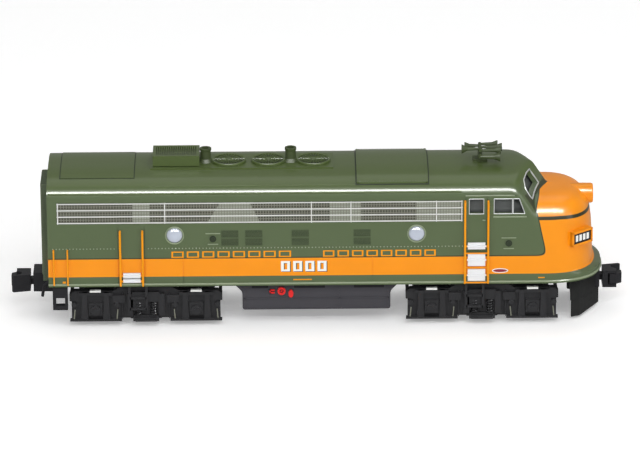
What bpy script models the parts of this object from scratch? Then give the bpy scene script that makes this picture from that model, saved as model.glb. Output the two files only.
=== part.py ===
"""Cab-unit diesel locomotive, a 1:220 railway model.

The model stands on its wheels with +X forward, +Y to its left and +Z up.  Its origin
is under the middle of the length over couplers, on the plane the wheel flanges touch.
Every size below is in millimetres; MM turns it into metres where a mesh is made.
"""
import math

import bmesh
import bpy
from mathutils import Matrix, Vector

MM = 0.001
GAP = 0.08                      # clearance between pieces that rest on each other

# Body shell
BODY_HALF_WIDTH = 7.0
BODY_BOTTOM = 5.65
BODY_REAR = -33.05
EAVE = 16.9                     # the side wall is flat up to here
ROOF_TOP = 19.4
ROOF_POWER = 2.6                # superellipse power of the roof section
WALL = 0.6

# Cab front: two swept, raked windshield planes
SCREEN_X = 28.2                 # on the centre line at the sill
SCREEN_Z = 17.0
SCREEN_RAKE = 0.66              # backward per unit of height
SCREEN_SWEEP = 0.42             # backward per unit sideways
SCREEN_SOFT = 0.9               # corner radius between screen and sides
SCREEN_DROP = 4.5               # below the sill by this much the planes turn upright

# Nose
NOSE_ROOT = 28.0
NOSE_REACH = 6.35
NOSE_LEAN = 0.05                # the front leans back by this much per unit of height
NOSE_SHOULDER = 10.0
NOSE_TOP = 16.4
NOSE_PLAN_POWER = 2.4
NOSE_CROWN_POWER = 4.0
NOSE_SOFT = 0.35                # fillet where the nose meets the cab front
NOSE_CREASE = 13.5              # the fillet starts at this height
PILOT_FLARE = 1.0               # the skirt under the nose stands forward
PILOT_RAMP = 0.5                # height over which it comes forward
PILOT_TOP = 7.05

# Sections of the cab and nose
CAB_CENTRE = 20.0               # radial sections meet above here
CAB_AIM = 11.0                  # height that the upper sections fan out from

# Running gear
FRONT_TRUCK_X = 20.43
REAR_TRUCK_X = -21.13
WHEELBASE = 12.47
FLANGE_RADIUS = 2.3
TREAD_RADIUS = 1.95
AXLE_Z = FLANGE_RADIUS
AXLE_RADIUS = 0.5
WHEEL_INNER = 2.95
FLANGE_OUTER = 3.3
WHEEL_OUTER = 4.3

# Truck gear case and side frames; outlines are halves, mirrored about the truck centre
CASE_BOTTOM = 1.25
CASE_HALF_LENGTH = 8.4
CASE_HALF_WIDTH = 2.0
TOWER_TOP = 7.75
TOWER_HALF_LENGTH = 3.3
FRAME_INNER = 4.75
FRAME_OUTER = 5.75
FRAME_HALF = ((9.45, 4.2), (9.45, 3.3), (7.6, 3.1), (7.4, 1.3), (5.1, 1.35), (4.9, 2.95), (2.7, 2.6),
              (1.9, 0.95))
FRAME_TOP = ((3.2, 5.1), (4.0, 4.65), (8.9, 4.6))

# Gear train of each truck: worm wheel, two idlers, two axle gears
MODULE = 0.25
WORM_WHEEL_TEETH = 20
IDLER_TEETH = 12
AXLE_TEETH = 11
MESH_CLEARANCE = 0.04           # added to each pitch distance
ADDENDUM = 0.2
DEDENDUM = 0.3
GEAR_HALF_WIDTH = 0.6
STUB_RADIUS = 0.35
STUB_HALF_LENGTH = 1.7

# Motor and its shaft
WORM_RADIUS = 1.0
WORM_CLEARANCE = 0.12           # the worm runs this far clear of the swivelling wheel
SHAFT_DROP = MODULE * WORM_WHEEL_TEETH / 2 + ADDENDUM
MOTOR_X = 0.5 * (FRONT_TRUCK_X + REAR_TRUCK_X)
MOTOR_HALF_LENGTH = 6.6
MOTOR_HALF_WIDTH = 3.6
MOTOR_HALF_HEIGHT = 3.1
FLYWHEEL_RADIUS = 2.6
FLYWHEEL_LENGTH = 3.6
SHAFT_RADIUS = 0.4

# Chassis
CHASSIS_BOTTOM = 6.0
CHASSIS_HALF_WIDTH = 6.15
CHASSIS_OUTLINE = ((-31.4, CHASSIS_BOTTOM), (27.5, CHASSIS_BOTTOM), (28.4, 8.0), (28.4, 10.5),
                   (24.0, 13.3), (17.2, 13.6), (17.2, 15.4), (-31.4, 15.4))
WELL_HALF_LENGTH = 4.0
WELL_HALF_WIDTH = 2.9
SCREW_X = (-28.0, 12.5)
SCREW_Z = 12.9

# Roof fittings
FAN_X = (-10.75, -5.85, -0.3)
FAN_RADIUS = 2.15
STACK_X = (-13.6, -3.1)
STACK_RADIUS = 0.65
STACK_TOP = 21.2
ROOF_DECK = 19.52               # flat deck that carries fans, stacks and hatch
HATCH_X = (-20.1, -14.35)
HATCH_HALF_WIDTH = 2.0
HATCH_TOP = 20.9
BRAKE_HATCH_X = (5.1, 13.6)
BRAKE_HATCH_HALF = 6.0
BRAKE_HATCH_LIFT = 0.16
HORN_X = 20.3

# Windows
WINDOW_Z = (14.85, 16.8)
DOOR_WINDOW_X = (18.75, 20.55)
SIDE_WINDOW_X = (21.8, 24.0)
QUARTER_WINDOW = ((24.4, 14.85), (25.6, 14.85), (24.9, 16.8), (24.4, 16.8))
SCREEN_PANE = ((0.6, 16.9), (4.0, 16.55), (5.2, 16.15), (5.2, 17.5), (4.3, 18.3), (0.6, 18.8))

# Headlight and number boards
HEADLIGHT_Z = 14.95
HEADLIGHT_RADIUS = 1.25
HEADLIGHT_FRONT = 34.3
NUMBER_BOARD_Z = 11.3
NUMBER_BOARD_TURN = 50          # degrees away from straight ahead
NUMBER_BOARD_DEPTH = 0.4
NUMBER_BOARD_HALF = (1.5, 0.8)  # half length and half height

# Side features, right and left alike
GRILLE_X = (-31.85, 17.95)
GRILLE_Z = (13.9, 16.65)
GRILLE_DEPTH = 0.25
PORTHOLE_X = (-17.45, 12.3)
PORTHOLE_Z = 12.35
PORTHOLE_RADIUS = 1.08
CAB_GRABS_X = (18.25, 21.1)
CAB_GRABS_Z = (5.8, 16.6)
CAB_PLATES = ((6.15, 7.7), (8.1, 9.75), (10.3, 11.15))
DOOR_GRABS_X = (-24.15, -21.4)
DOOR_GRABS_Z = (5.8, 13.0)
DOOR_PLATES = ((6.25, 6.7), (6.85, 7.5))
WIRE_RADIUS = 0.13
GRAB_STANDOFF = 0.4

# Couplers
COUPLER_TIP = 38.0              # both couplers end this far from the middle
COUPLER_PIVOT = 33.0
COUPLER_BOX_FRONT = 35.2
COUPLER_Z = 3.95
HEAD_HALF_HEIGHT = 1.1
# Plan outlines, measured from the tip; the knuckle closes on the +Y side of the front one
KNUCKLE_PIN = (-1.15, -0.85)
HEAD_OUTLINE = ((-2.4, -1.3), (-0.65, -1.3), (-0.65, -0.45), (-1.3, 0.1), (-1.3, 0.75), (-0.1, 1.15),
                (-0.3, 1.45), (-2.4, 1.0))
KNUCKLE_OUTLINE = ((-1.5, -1.2), (-0.7, -1.25), (0.0, -0.8), (0.0, 0.15), (-0.4, 0.2), (-0.6, -0.35),
                   (-1.5, -0.4))

# ------------------------------------------------------------------ helpers


def clear_scene():
    for obj in list(bpy.data.objects):
        bpy.data.objects.remove(obj, do_unlink=True)


def new_collection(name):
    collection = bpy.data.collections.new(name)
    bpy.context.scene.collection.children.link(collection)
    return collection


def paint(name, colour, roughness, metallic=0.0):
    """A Principled material; each part gets one of its own."""
    material = bpy.data.materials.new(name)
    material.use_nodes = True
    shader = material.node_tree.nodes["Principled BSDF"]
    shader.inputs["Base Color"].default_value = (*colour, 1.0)
    shader.inputs["Roughness"].default_value = roughness
    shader.inputs["Metallic"].default_value = metallic
    return material


FINISHES = {
    "green": ((0.11, 0.16, 0.07), 0.45, 0.0),
    "orange": ((0.90, 0.33, 0.02), 0.4, 0.0),
    "yellow": ((0.85, 0.50, 0.03), 0.4, 0.0),
    "black": ((0.02, 0.02, 0.022), 0.5, 0.0),
    "dark_grey": ((0.06, 0.06, 0.065), 0.55, 0.0),
    "steel": ((0.55, 0.55, 0.56), 0.3, 1.0),
    "brass": ((0.70, 0.50, 0.20), 0.3, 1.0),
    "zinc": ((0.42, 0.42, 0.44), 0.4, 1.0),
    "nylon": ((0.75, 0.74, 0.70), 0.4, 0.0),
    "board": ((0.03, 0.20, 0.08), 0.4, 0.0),
    "clear": ((0.75, 0.78, 0.80), 0.08, 0.0),
    "silver": ((0.62, 0.63, 0.62), 0.35, 0.8),
}


def dress(obj, finish):
    colour, roughness, metallic = FINISHES[finish]
    obj.data.materials.clear()
    obj.data.materials.append(paint(obj.name + "_paint", colour, roughness, metallic))
    return obj


def mesh_object(name, bm, collection=None):
    mesh = bpy.data.meshes.new(name)
    bm.to_mesh(mesh)
    bm.free()
    obj = bpy.data.objects.new(name, mesh)
    (collection or PARTS).objects.link(obj)
    return obj


def box(name, x, y, z):
    """A box between two limits on each axis."""
    bm = bmesh.new()
    size = Matrix.Diagonal((x[1] - x[0], y[1] - y[0], z[1] - z[0], 1.0))
    middle = Vector((sum(x), sum(y), sum(z))) / 2
    bmesh.ops.create_cube(bm, size=1.0, matrix=Matrix.Translation(middle) @ size)
    bmesh.ops.scale(bm, vec=(MM, MM, MM), verts=bm.verts)
    return mesh_object(name, bm)


def along(axis):
    """Rotation that turns +Z onto an axis."""
    return Vector((0, 0, 1)).rotation_difference(Vector(axis)).to_matrix().to_4x4()


def rod(name, start, end, radius, end_radius=None, sides=16):
    """A cylinder or cone between two points."""
    start, end = Vector(start), Vector(end)
    bm = bmesh.new()
    place = Matrix.Translation((start + end) / 2) @ along((end - start).normalized())
    bmesh.ops.create_cone(bm, cap_ends=True, segments=sides, radius1=radius,
                          radius2=radius if end_radius is None else end_radius,
                          depth=(end - start).length, matrix=place)
    bmesh.ops.scale(bm, vec=(MM, MM, MM), verts=bm.verts)
    return smooth(mesh_object(name, bm))


def smooth(obj, angle=40):
    obj.data.shade_smooth()
    obj.data.set_sharp_from_angle(angle=math.radians(angle))
    return obj


def as_mesh(obj):
    """Replace a curve, or an object with modifiers, by its finished mesh."""
    graph = bpy.context.evaluated_depsgraph_get()
    mesh = bpy.data.meshes.new_from_object(obj.evaluated_get(graph))
    bm = bmesh.new()
    bm.from_mesh(mesh)
    bmesh.ops.remove_doubles(bm, verts=bm.verts, dist=0.002 * MM)
    bm.to_mesh(mesh)
    bm.free()
    name, place = obj.name, obj.matrix_world.copy()
    bpy.data.objects.remove(obj, do_unlink=True)
    result = bpy.data.objects.new(name, mesh)
    result.matrix_world = place
    PARTS.objects.link(result)
    return result


def slab(name, outlines, low, high, normal="Y"):
    """A flat outline, with any holes, extruded between two levels on an axis.

    Outlines are (x, z) points for normal Y, (x, y) for Z and (y, z) for X.
    """
    curve = bpy.data.curves.new(name, "CURVE")
    curve.dimensions = "2D"
    curve.fill_mode = "BOTH"
    curve.extrude = (high - low) / 2 * MM
    for outline in outlines:
        spline = curve.splines.new("POLY")
        spline.points.add(len(outline) - 1)
        spline.use_cyclic_u = True
        for point, (u, v) in zip(spline.points, outline):
            point.co = (u * MM, v * MM, 0, 1)
    obj = bpy.data.objects.new(name, curve)
    PARTS.objects.link(obj)
    level = (high + low) / 2 * MM
    if normal == "Y":
        obj.matrix_world = Matrix.Translation((0, level, 0)) @ Matrix.Rotation(math.pi / 2, 4, "X")
    elif normal == "X":
        turn = Matrix(((0, 0, 1, 0), (1, 0, 0, 0), (0, 1, 0, 0), (0, 0, 0, 1)))
        obj.matrix_world = Matrix.Translation((level, 0, 0)) @ turn
    else:
        obj.matrix_world = Matrix.Translation((0, 0, level))
    bpy.context.view_layer.update()
    obj = as_mesh(obj)
    obj.data.transform(obj.matrix_world)
    obj.matrix_world = Matrix.Identity(4)
    return obj


def wire(name, points, radius=WIRE_RADIUS):
    """A round wire through a short list of points."""
    curve = bpy.data.curves.new(name, "CURVE")
    curve.dimensions = "3D"
    curve.bevel_depth = radius * MM
    curve.bevel_resolution = 1
    curve.use_fill_caps = True
    spline = curve.splines.new("POLY")
    spline.points.add(len(points) - 1)
    for point, (x, y, z) in zip(spline.points, points):
        point.co = (x * MM, y * MM, z * MM, 1)
    obj = bpy.data.objects.new(name, curve)
    PARTS.objects.link(obj)
    bpy.context.view_layer.update()
    return as_mesh(obj)


def turned(name, profile, centre, axis, steps=16):
    """A turned piece; profile is (radius, height) from its top down its outside."""
    bm = bmesh.new()
    points = [bm.verts.new((radius * MM, 0, height * MM)) for radius, height in profile]
    for first, second in zip(points, points[1:]):
        bm.edges.new((first, second))
    obj = mesh_object(name, bm)
    screw = obj.modifiers.new("turn", "SCREW")
    screw.steps = steps
    screw.render_steps = steps
    screw.use_merge_vertices = True
    screw.merge_threshold = 0.001 * MM
    obj.matrix_world = Matrix.Translation(Vector(centre) * MM) @ along(axis)
    bpy.context.view_layer.update()
    obj = as_mesh(obj)
    obj.data.transform(obj.matrix_world)
    obj.matrix_world = Matrix.Identity(4)
    return smooth(obj)


def boolean(obj, other, operation):
    """Cut or join with another object, which becomes a hidden cutter."""
    modifier = obj.modifiers.new(operation.lower(), "BOOLEAN")
    modifier.operation = operation
    modifier.object = other
    modifier.solver = "EXACT"
    other.hide_render = True
    other.display_type = "WIRE"
    for collection in list(other.users_collection):
        collection.objects.unlink(other)
    CUTTERS.objects.link(other)
    other.name = "tool_" + other.name
    return obj


def cut(obj, *others):
    for other in others:
        boolean(obj, other, "DIFFERENCE")
    return obj


def join(obj, *others):
    for other in others:
        boolean(obj, other, "UNION")
    return obj


def empty(name, place, parent=None):
    """A joint axis: moving pieces hang on it."""
    obj = bpy.data.objects.new(name, None)
    obj.empty_display_size = 2 * MM
    PARTS.objects.link(obj)
    obj.parent = parent
    start = Vector(parent["place"]) if parent else Vector((0, 0, 0))
    obj["place"] = place
    obj.location = (Vector(place) - start) * MM
    return obj


def hang(obj, pivot):
    """Give a piece its pivot's place as origin and parent it there."""
    for modifier in obj.modifiers:
        tool = modifier.object
        tool.parent = obj
    obj.data.transform(Matrix.Translation(-Vector(pivot["place"]) * MM))
    for modifier in obj.modifiers:
        modifier.object.data.transform(Matrix.Translation(-Vector(pivot["place"]) * MM))
    obj.parent = pivot
    return obj


def mirrored(side, limits):
    """Limits on the Y axis for the right (-1) or left (+1) side."""
    return tuple(sorted(side * value for value in limits))


SIDES = (("right", -1), ("left", 1))

# ------------------------------------------------------------------ body surface


def soft_max(a, b, radius):
    h = max(radius - abs(a - b), 0.0) / radius
    return max(a, b) + h * h * radius / 4


def power_sum(values, power):
    return sum(value ** power for value in values) ** (1 / power)


def car_body(y, z, inset):
    """Below 0 inside the straight body: flat sides and an arched roof."""
    half = BODY_HALF_WIDTH - inset
    rise = ROOF_TOP - inset - EAVE
    up = max(z - EAVE, 0.0) / rise
    return (power_sum((abs(y) / half, up), ROOF_POWER) - 1) * half


def screens(x, y, z, inset):
    """Below 0 behind both windshield planes."""
    height = max(z - SCREEN_Z, -SCREEN_DROP)
    past = x + SCREEN_RAKE * height + SCREEN_SWEEP * abs(y) - SCREEN_X
    return past / math.sqrt(1 + SCREEN_RAKE ** 2 + SCREEN_SWEEP ** 2) + inset


def nose(x, y, z, inset):
    """Below 0 inside the rounded nose, which runs back into the cab."""
    half = BODY_HALF_WIDTH - inset
    flare = PILOT_FLARE * min(max((PILOT_TOP - z) / PILOT_RAMP, 0.0), 1.0)
    reach = NOSE_REACH + flare - NOSE_LEAN * max(z - PILOT_TOP, 0.0) - inset
    forward = max(x - NOSE_ROOT, 0.0) / reach
    plan = power_sum((forward, abs(y) / half), NOSE_PLAN_POWER)
    up = max(z - NOSE_SHOULDER, 0.0) / (NOSE_TOP - inset - NOSE_SHOULDER)
    return (power_sum((plan, up), NOSE_CROWN_POWER) - 1) * half


def surface(x, y, z, inset):
    cab = soft_max(car_body(y, z, inset), screens(x, y, z, inset), SCREEN_SOFT)
    crease = NOSE_SOFT * min(max((z - NOSE_CREASE) / 2, 0.001), 1.0)
    return -soft_max(-cab, -nose(x, y, z, inset), crease)


def reach(start, direction, inset):
    """Distance from a point to the surface along a direction."""
    low, high = 0.0, 30.0
    for _ in range(40):
        middle = (low + high) / 2
        if surface(*(start + direction * middle), inset) < 0:
            low = middle
        else:
            high = middle
    return low


def section(turn, inset, bottom, levels, fan):
    """Points from the bottom edge up to the roof, in the plane at one plan angle."""
    outward = Vector((math.sin(turn), -math.cos(turn), 0))
    points = []
    for level in levels:
        start = Vector((CAB_CENTRE, 0, max(level, bottom)))
        points.append(start + outward * reach(start, outward, inset))
    start = Vector((CAB_CENTRE, 0, CAB_AIM))
    for step in range(1, fan):
        angle = math.pi / 2 * step / fan
        direction = outward * math.cos(angle) + Vector((0, 0, math.sin(angle)))
        points.append(start + direction * reach(start, direction, inset))
    return points


def cab_skin(bm, inset, rear, bottom, turns, fan):
    """Outer or inner skin of the shell; returns its open bottom edge."""
    levels = [bottom, max(bottom, 6.2), max(bottom, PILOT_TOP), max(bottom, 9.0), CAB_AIM]
    levels = sorted(set(level for level in levels if level <= CAB_AIM)) if bottom < CAB_AIM else []
    pole = bm.verts.new(Vector((CAB_CENTRE, 0, ROOF_TOP - inset)) * MM)
    columns = []
    for step in range(turns + 1):
        turn = math.pi * step / turns
        points = section(turn, inset, bottom, levels, fan)
        columns.append([bm.verts.new(point * MM) for point in points])
    for first, second in zip(columns, columns[1:]):
        for low in range(len(first) - 1):
            bm.faces.new((first[low], second[low], second[low + 1], first[low + 1]))
        bm.faces.new((first[-1], second[-1], pole))
    ring = columns[0] + [pole] + columns[-1][::-1]
    rear_ring = [bm.verts.new((rear * MM, v.co.y, v.co.z)) for v in ring]
    for low in range(len(ring) - 1):
        bm.faces.new((ring[low], ring[low + 1], rear_ring[low + 1], rear_ring[low]))
    hub = bm.verts.new((rear * MM, 0, CAB_AIM * MM))
    for first, second in zip(rear_ring, rear_ring[1:] + rear_ring[:1]):
        bm.faces.new((first, second, hub))
    edge = [column[0] for column in columns]
    return [rear_ring[0]] + edge + [rear_ring[-1]]


def cab_shell(name, outer, inner, rear, bottom, turns=20, fan=12):
    """A shell between two insets of the body surface, open underneath."""
    bm = bmesh.new()
    outside = cab_skin(bm, outer, rear, bottom, turns, fan)
    inside = cab_skin(bm, inner, rear + inner - outer, bottom, turns, fan)
    count = len(outside)
    for step in range(count):
        after = (step + 1) % count
        bm.faces.new((outside[step], outside[after], inside[after], inside[step]))
    bmesh.ops.triangulate(bm, faces=bm.faces)
    bmesh.ops.recalc_face_normals(bm, faces=bm.faces)
    return smooth(mesh_object(name, bm), 35)


# ------------------------------------------------------------------ shell and trim


def body_shell():
    shell = cab_shell("body_shell", 0.0, WALL, BODY_REAR, BODY_BOTTOM)
    through = (-BODY_HALF_WIDTH - 1, BODY_HALF_WIDTH + 1)
    cut(shell,
        box("door_windows", DOOR_WINDOW_X, through, WINDOW_Z),
        box("side_windows", SIDE_WINDOW_X, through, WINDOW_Z),
        slab("quarter_windows", [QUARTER_WINDOW], *through))
    for _, side in SIDES:
        pane = [(side * y, z) for y, z in SCREEN_PANE]
        cut(shell, slab("screen_%d" % side, [pane], CAB_CENTRE + 2, NOSE_ROOT + 0.8, "X"))
        recess = mirrored(side, (BODY_HALF_WIDTH - GRILLE_DEPTH, BODY_HALF_WIDTH + 1))
        cut(shell, box("grille_recess_%d" % side, GRILLE_X, recess, GRILLE_Z))
        for place in PORTHOLE_X:
            start = (place, side * (BODY_HALF_WIDTH - WALL - 1), PORTHOLE_Z)
            end = (place, side * (BODY_HALF_WIDTH + 1), PORTHOLE_Z)
            cut(shell, rod("porthole_%d" % side, start, end, PORTHOLE_RADIUS, sides=16))
    deck_x = (HATCH_X[0] - 0.3, FAN_X[-1] + FAN_RADIUS + 0.3)
    join(shell, box("roof_deck", deck_x, (-2.6, 2.6), (ROOF_TOP - 0.4, ROOF_DECK)))
    bore_start = (NOSE_ROOT, 0, HEADLIGHT_Z)
    join(shell, rod("headlight_barrel", (31.8, 0, HEADLIGHT_Z), (HEADLIGHT_FRONT, 0, HEADLIGHT_Z),
                    HEADLIGHT_RADIUS, sides=20))
    cut(shell, rod("headlight_bore", bore_start, (HEADLIGHT_FRONT + 1, 0, HEADLIGHT_Z),
                   HEADLIGHT_RADIUS - 0.3, sides=20))
    return dress(shell, "green")


def headlight():
    """Lens and light guide in one clear turned piece."""
    face = HEADLIGHT_FRONT - 0.25
    lens = HEADLIGHT_RADIUS - 0.3 - GAP
    profile = ((0, face), (lens * 0.6, face - 0.05), (lens, face - 0.25),
               (lens, face - 1.6), (0.5, face - 2.2), (0.5, NOSE_ROOT - 2), (0, NOSE_ROOT - 2))
    return dress(turned("headlight_lens", profile, (0, 0, HEADLIGHT_Z), (1, 0, 0)), "clear")


def cab_glazing():
    """One clear moulding behind all the cab windows."""
    outer = WALL + 4 * GAP
    glazing = cab_shell("cab_glazing", outer, outer + 0.35, 15.0, 14.2, turns=16, fan=10)
    keep = box("glazing_zone", (17.9, 27.9), (-9, 9), (14.0, 18.85))
    return dress(boolean(glazing, keep, "INTERSECT"), "clear")


def side_trim():
    """Grilles, porthole lenses and number boards."""
    for label, side in SIDES:
        depth = mirrored(side, (BODY_HALF_WIDTH - GRILLE_DEPTH + GAP / 2, BODY_HALF_WIDTH + 0.03))
        grille_x = (GRILLE_X[0] + GAP, GRILLE_X[1] - GAP)
        grille_z = (GRILLE_Z[0] + GAP, GRILLE_Z[1] - GAP)
        dress(box("side_grille_" + label, grille_x, depth, grille_z), "silver")
        for where, place in zip(("rear", "front"), PORTHOLE_X):
            radius = PORTHOLE_RADIUS - GAP
            profile = ((0, 7.12), (radius * 0.7, 7.08), (radius, 6.95), (radius, 6.5), (0, 6.5))
            lens = turned("porthole_%s_%s" % (where, label), profile, (place, 0, PORTHOLE_Z),
                          (0, side, 0), steps=12)
            dress(lens, "silver")


def number_boards():
    """Lit boards on the two shoulders of the nose."""
    for label, side in SIDES:
        turn = math.radians(NUMBER_BOARD_TURN)
        outward = Vector((math.cos(turn), side * math.sin(turn), 0))
        start = Vector((NOSE_ROOT - 0.2, 0, NUMBER_BOARD_Z))
        back = start + outward * (reach(start, outward, 0.0) + 2 * GAP)
        half_length, half_height = NUMBER_BOARD_HALF
        board = box("number_board_" + label, (0, NUMBER_BOARD_DEPTH), (-half_length, half_length),
                    (-half_height, half_height))
        bevel = board.modifiers.new("edges", "BEVEL")
        bevel.width = 0.1 * MM
        bevel.segments = 2
        board.matrix_world = Matrix.Translation(back * MM) @ Matrix.Rotation(side * turn, 4, "Z")
        dress(board, "black")


def roof_fittings():
    deck = ROOF_DECK + GAP
    hatch_y = (-HATCH_HALF_WIDTH, HATCH_HALF_WIDTH)
    hatch = box("winterization_hatch", HATCH_X, hatch_y, (deck, HATCH_TOP))
    opening_x = (HATCH_X[0] + 0.4, HATCH_X[1] - 0.4)
    opening = box("hatch_opening", opening_x, (-1.6, 1.6), (HATCH_TOP - 0.35, HATCH_TOP + 1))
    dress(cut(hatch, opening), "green")
    for number, place in enumerate(FAN_X, 1):
        profile = ((0, 0.5), (0.5, 0.46), (0.6, 0.2), (1.75, 0.2), (1.85, 0.5),
                   (FAN_RADIUS, 0.4), (FAN_RADIUS, 0), (0, 0))
        fan = turned("radiator_fan_%d" % number, profile, (place, 0, deck), (0, 0, 1), steps=16)
        dress(fan, "green")
    for label, place in zip(("rear", "front"), STACK_X):
        stack = rod("exhaust_stack_" + label, (place, 0, deck), (place, 0, STACK_TOP), STACK_RADIUS)
        mouth = rod("stack_mouth_" + label, (place, 0, STACK_TOP - 0.9), (place, 0, STACK_TOP + 1),
                    STACK_RADIUS - 0.22)
        dress(cut(stack, mouth), "black")


def brake_hatch():
    """Curved roof panel over the brake grids, laid on the roof."""
    steps = 18
    outline = []
    for inset, order in ((-BRAKE_HATCH_LIFT, 1), (-GAP / 2, -1)):
        for step in range(steps + 1):
            y = order * (2 * step / steps - 1) * BRAKE_HATCH_HALF
            start = Vector((0, y, EAVE))
            height = reach(start, Vector((0, 0, 1)), inset)
            outline.append((y, EAVE + height))
    panel = slab("brake_hatch", [outline], *BRAKE_HATCH_X, "X")
    return dress(smooth(panel, 30), "green")


def air_horn():
    """Five chimes on a cross manifold with one foot."""
    height = 21.05
    horn = rod("air_horn", (HORN_X, 0, ROOF_TOP + GAP), (HORN_X, 0, height), 0.3, sides=10)
    join(horn, rod("horn_manifold", (HORN_X, -1.35, height), (HORN_X, 1.35, height), 0.22, sides=10))
    chimes = ((-1.15, 2.5, 0.5), (0.0, 2.7, 0.55), (1.15, 2.2, 0.5), (-0.6, -2.3, 0.6), (0.6, -1.9, 0.5))
    for y, length, bell in chimes:
        flare = HORN_X + length * 0.72
        join(horn, rod("chime", (HORN_X, y, height), (flare, y, height), 0.16, 0.24, sides=10))
        end = (HORN_X + length, y, height)
        join(horn, rod("bell", (flare - 0.05 * length, y, height), end, 0.22, bell, sides=12))
    return dress(horn, "green")


def steps_and_grabs():
    """Handrails with their step plates, one etched piece per doorway and side."""
    doorways = (("cab_steps", CAB_GRABS_X, CAB_GRABS_Z, CAB_PLATES, 0.35),
                ("door_steps", DOOR_GRABS_X, DOOR_GRABS_Z, DOOR_PLATES, 0.3))
    for label, side in SIDES:
        for name, posts, heights, plates, margin in doorways:
            foot = side * (BODY_HALF_WIDTH + GAP)
            rail = side * (BODY_HALF_WIDTH + GRAB_STANDOFF)
            rails = []
            for place in posts:
                path = [(place, foot, heights[1]), (place, rail, heights[1] - 0.15),
                        (place, rail, heights[0] + 0.15), (place, foot, heights[0])]
                rails.append(wire("%s_%s" % (name, label), path))
            piece = join(rails[0], rails[1])
            for low, high in plates:
                plate_y = mirrored(side, (BODY_HALF_WIDTH + GAP, BODY_HALF_WIDTH + 0.25))
                plate_x = (posts[0] + margin, posts[1] - margin)
                join(piece, box("plate", plate_x, plate_y, (low, high)))
                tie_y = mirrored(side, (BODY_HALF_WIDTH + 0.15, BODY_HALF_WIDTH + GRAB_STANDOFF))
                middle = (low + high) / 2
                join(piece, box("tie", posts, tie_y, (middle - 0.08, middle + 0.08)))
            piece.name = "%s_%s" % (name, label)
            dress(piece, "yellow")


def rear_gangway():
    gangway = box("rear_gangway", (BODY_REAR - 0.95, BODY_REAR - GAP), (-2.6, 2.6), (5.7, 17.6))
    door = box("gangway_door", (BODY_REAR - 2, BODY_REAR - 0.45), (-1.9, 1.9), (6.4, 16.6))
    return dress(cut(gangway, door), "green")


# ------------------------------------------------------------------ chassis and drive


def gear_centres():
    """Worm wheel height, idler offset and idler height above the wheel plane."""
    first = MODULE * (WORM_WHEEL_TEETH + IDLER_TEETH) / 2 + MESH_CLEARANCE
    second = MODULE * (IDLER_TEETH + AXLE_TEETH) / 2 + MESH_CLEARANCE
    run = WHEELBASE / 2
    rise = math.sqrt((first + second) ** 2 - run ** 2)
    share = first / (first + second)
    return AXLE_Z + rise, run * share, AXLE_Z + rise * (1 - share)


WORM_WHEEL_Z, IDLER_X, IDLER_Z = gear_centres()
SHAFT_Z = WORM_WHEEL_Z + SHAFT_DROP + WORM_CLEARANCE + WORM_RADIUS


def chassis():
    """Two cast halves clamped round the motor, one per electrical side."""
    for label, side in SIDES:
        limits = mirrored(side, (0.12, CHASSIS_HALF_WIDTH))
        half = slab("chassis_" + label, [CHASSIS_OUTLINE], *limits)
        join(half, box("nose_weight", (27.0, 31.9), mirrored(side, (0.12, 3.6)), (6.3, 12.4)))
        join(half, box("cab_weight", (18.1, 23.8), mirrored(side, (0.12, 5.3)), (13.0, 15.9)))
        reach_x = MOTOR_HALF_LENGTH + 0.2
        motor_z = (CHASSIS_BOTTOM - 1, SHAFT_Z + MOTOR_HALF_HEIGHT + 0.15)
        motor_y = (-MOTOR_HALF_WIDTH - 0.15, MOTOR_HALF_WIDTH + 0.15)
        cut(half, box("motor_bay", (MOTOR_X - reach_x, MOTOR_X + reach_x), motor_y, motor_z))
        wheel_x = MOTOR_HALF_LENGTH + FLYWHEEL_LENGTH + 1.2
        wheel_z = (CHASSIS_BOTTOM - 1, SHAFT_Z + FLYWHEEL_RADIUS + 0.3)
        wheel_y = (-FLYWHEEL_RADIUS - 0.3, FLYWHEEL_RADIUS + 0.3)
        cut(half, box("flywheel_bay", (MOTOR_X - wheel_x, MOTOR_X + wheel_x), wheel_y, wheel_z))
        cut(half, box("shaft_tunnel", (REAR_TRUCK_X - 4.5, FRONT_TRUCK_X + 4.5), (-1.5, 1.5),
                      (SHAFT_Z - 1.5, SHAFT_Z + 1.5)))
        for place in (FRONT_TRUCK_X, REAR_TRUCK_X):
            cut(half, box("truck_well", (place - WELL_HALF_LENGTH, place + WELL_HALF_LENGTH),
                          (-WELL_HALF_WIDTH, WELL_HALF_WIDTH), (CHASSIS_BOTTOM - 1, SHAFT_Z)))
        for place in SCREW_X:
            start = (place, -9, SCREW_Z)
            cut(half, rod("screw_hole", start, (place, 9, SCREW_Z), 0.5 + GAP, sides=12))
        dress(half, "zinc")


def chassis_screws():
    """Screws that clamp the halves together, heads sunk against the right half."""
    for label, place in zip(("rear", "front"), SCREW_X):
        side = -CHASSIS_HALF_WIDTH - GAP
        screw = rod("chassis_screw_" + label, (place, side, SCREW_Z), (place, 6.0, SCREW_Z), 0.5, sides=12)
        dress(screw, "steel")


def motor():
    case_x = (MOTOR_X - MOTOR_HALF_LENGTH, MOTOR_X + MOTOR_HALF_LENGTH)
    case_y = (-MOTOR_HALF_WIDTH, MOTOR_HALF_WIDTH)
    case_z = (SHAFT_Z - MOTOR_HALF_HEIGHT, SHAFT_Z + MOTOR_HALF_HEIGHT)
    case = box("motor", case_x, case_y, case_z)
    bore_reach = MOTOR_HALF_LENGTH + 1
    bore = rod("motor_bore", (MOTOR_X - bore_reach, 0, SHAFT_Z), (MOTOR_X + bore_reach, 0, SHAFT_Z),
               SHAFT_RADIUS + GAP, sides=12)
    return dress(cut(case, bore), "steel")


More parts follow.
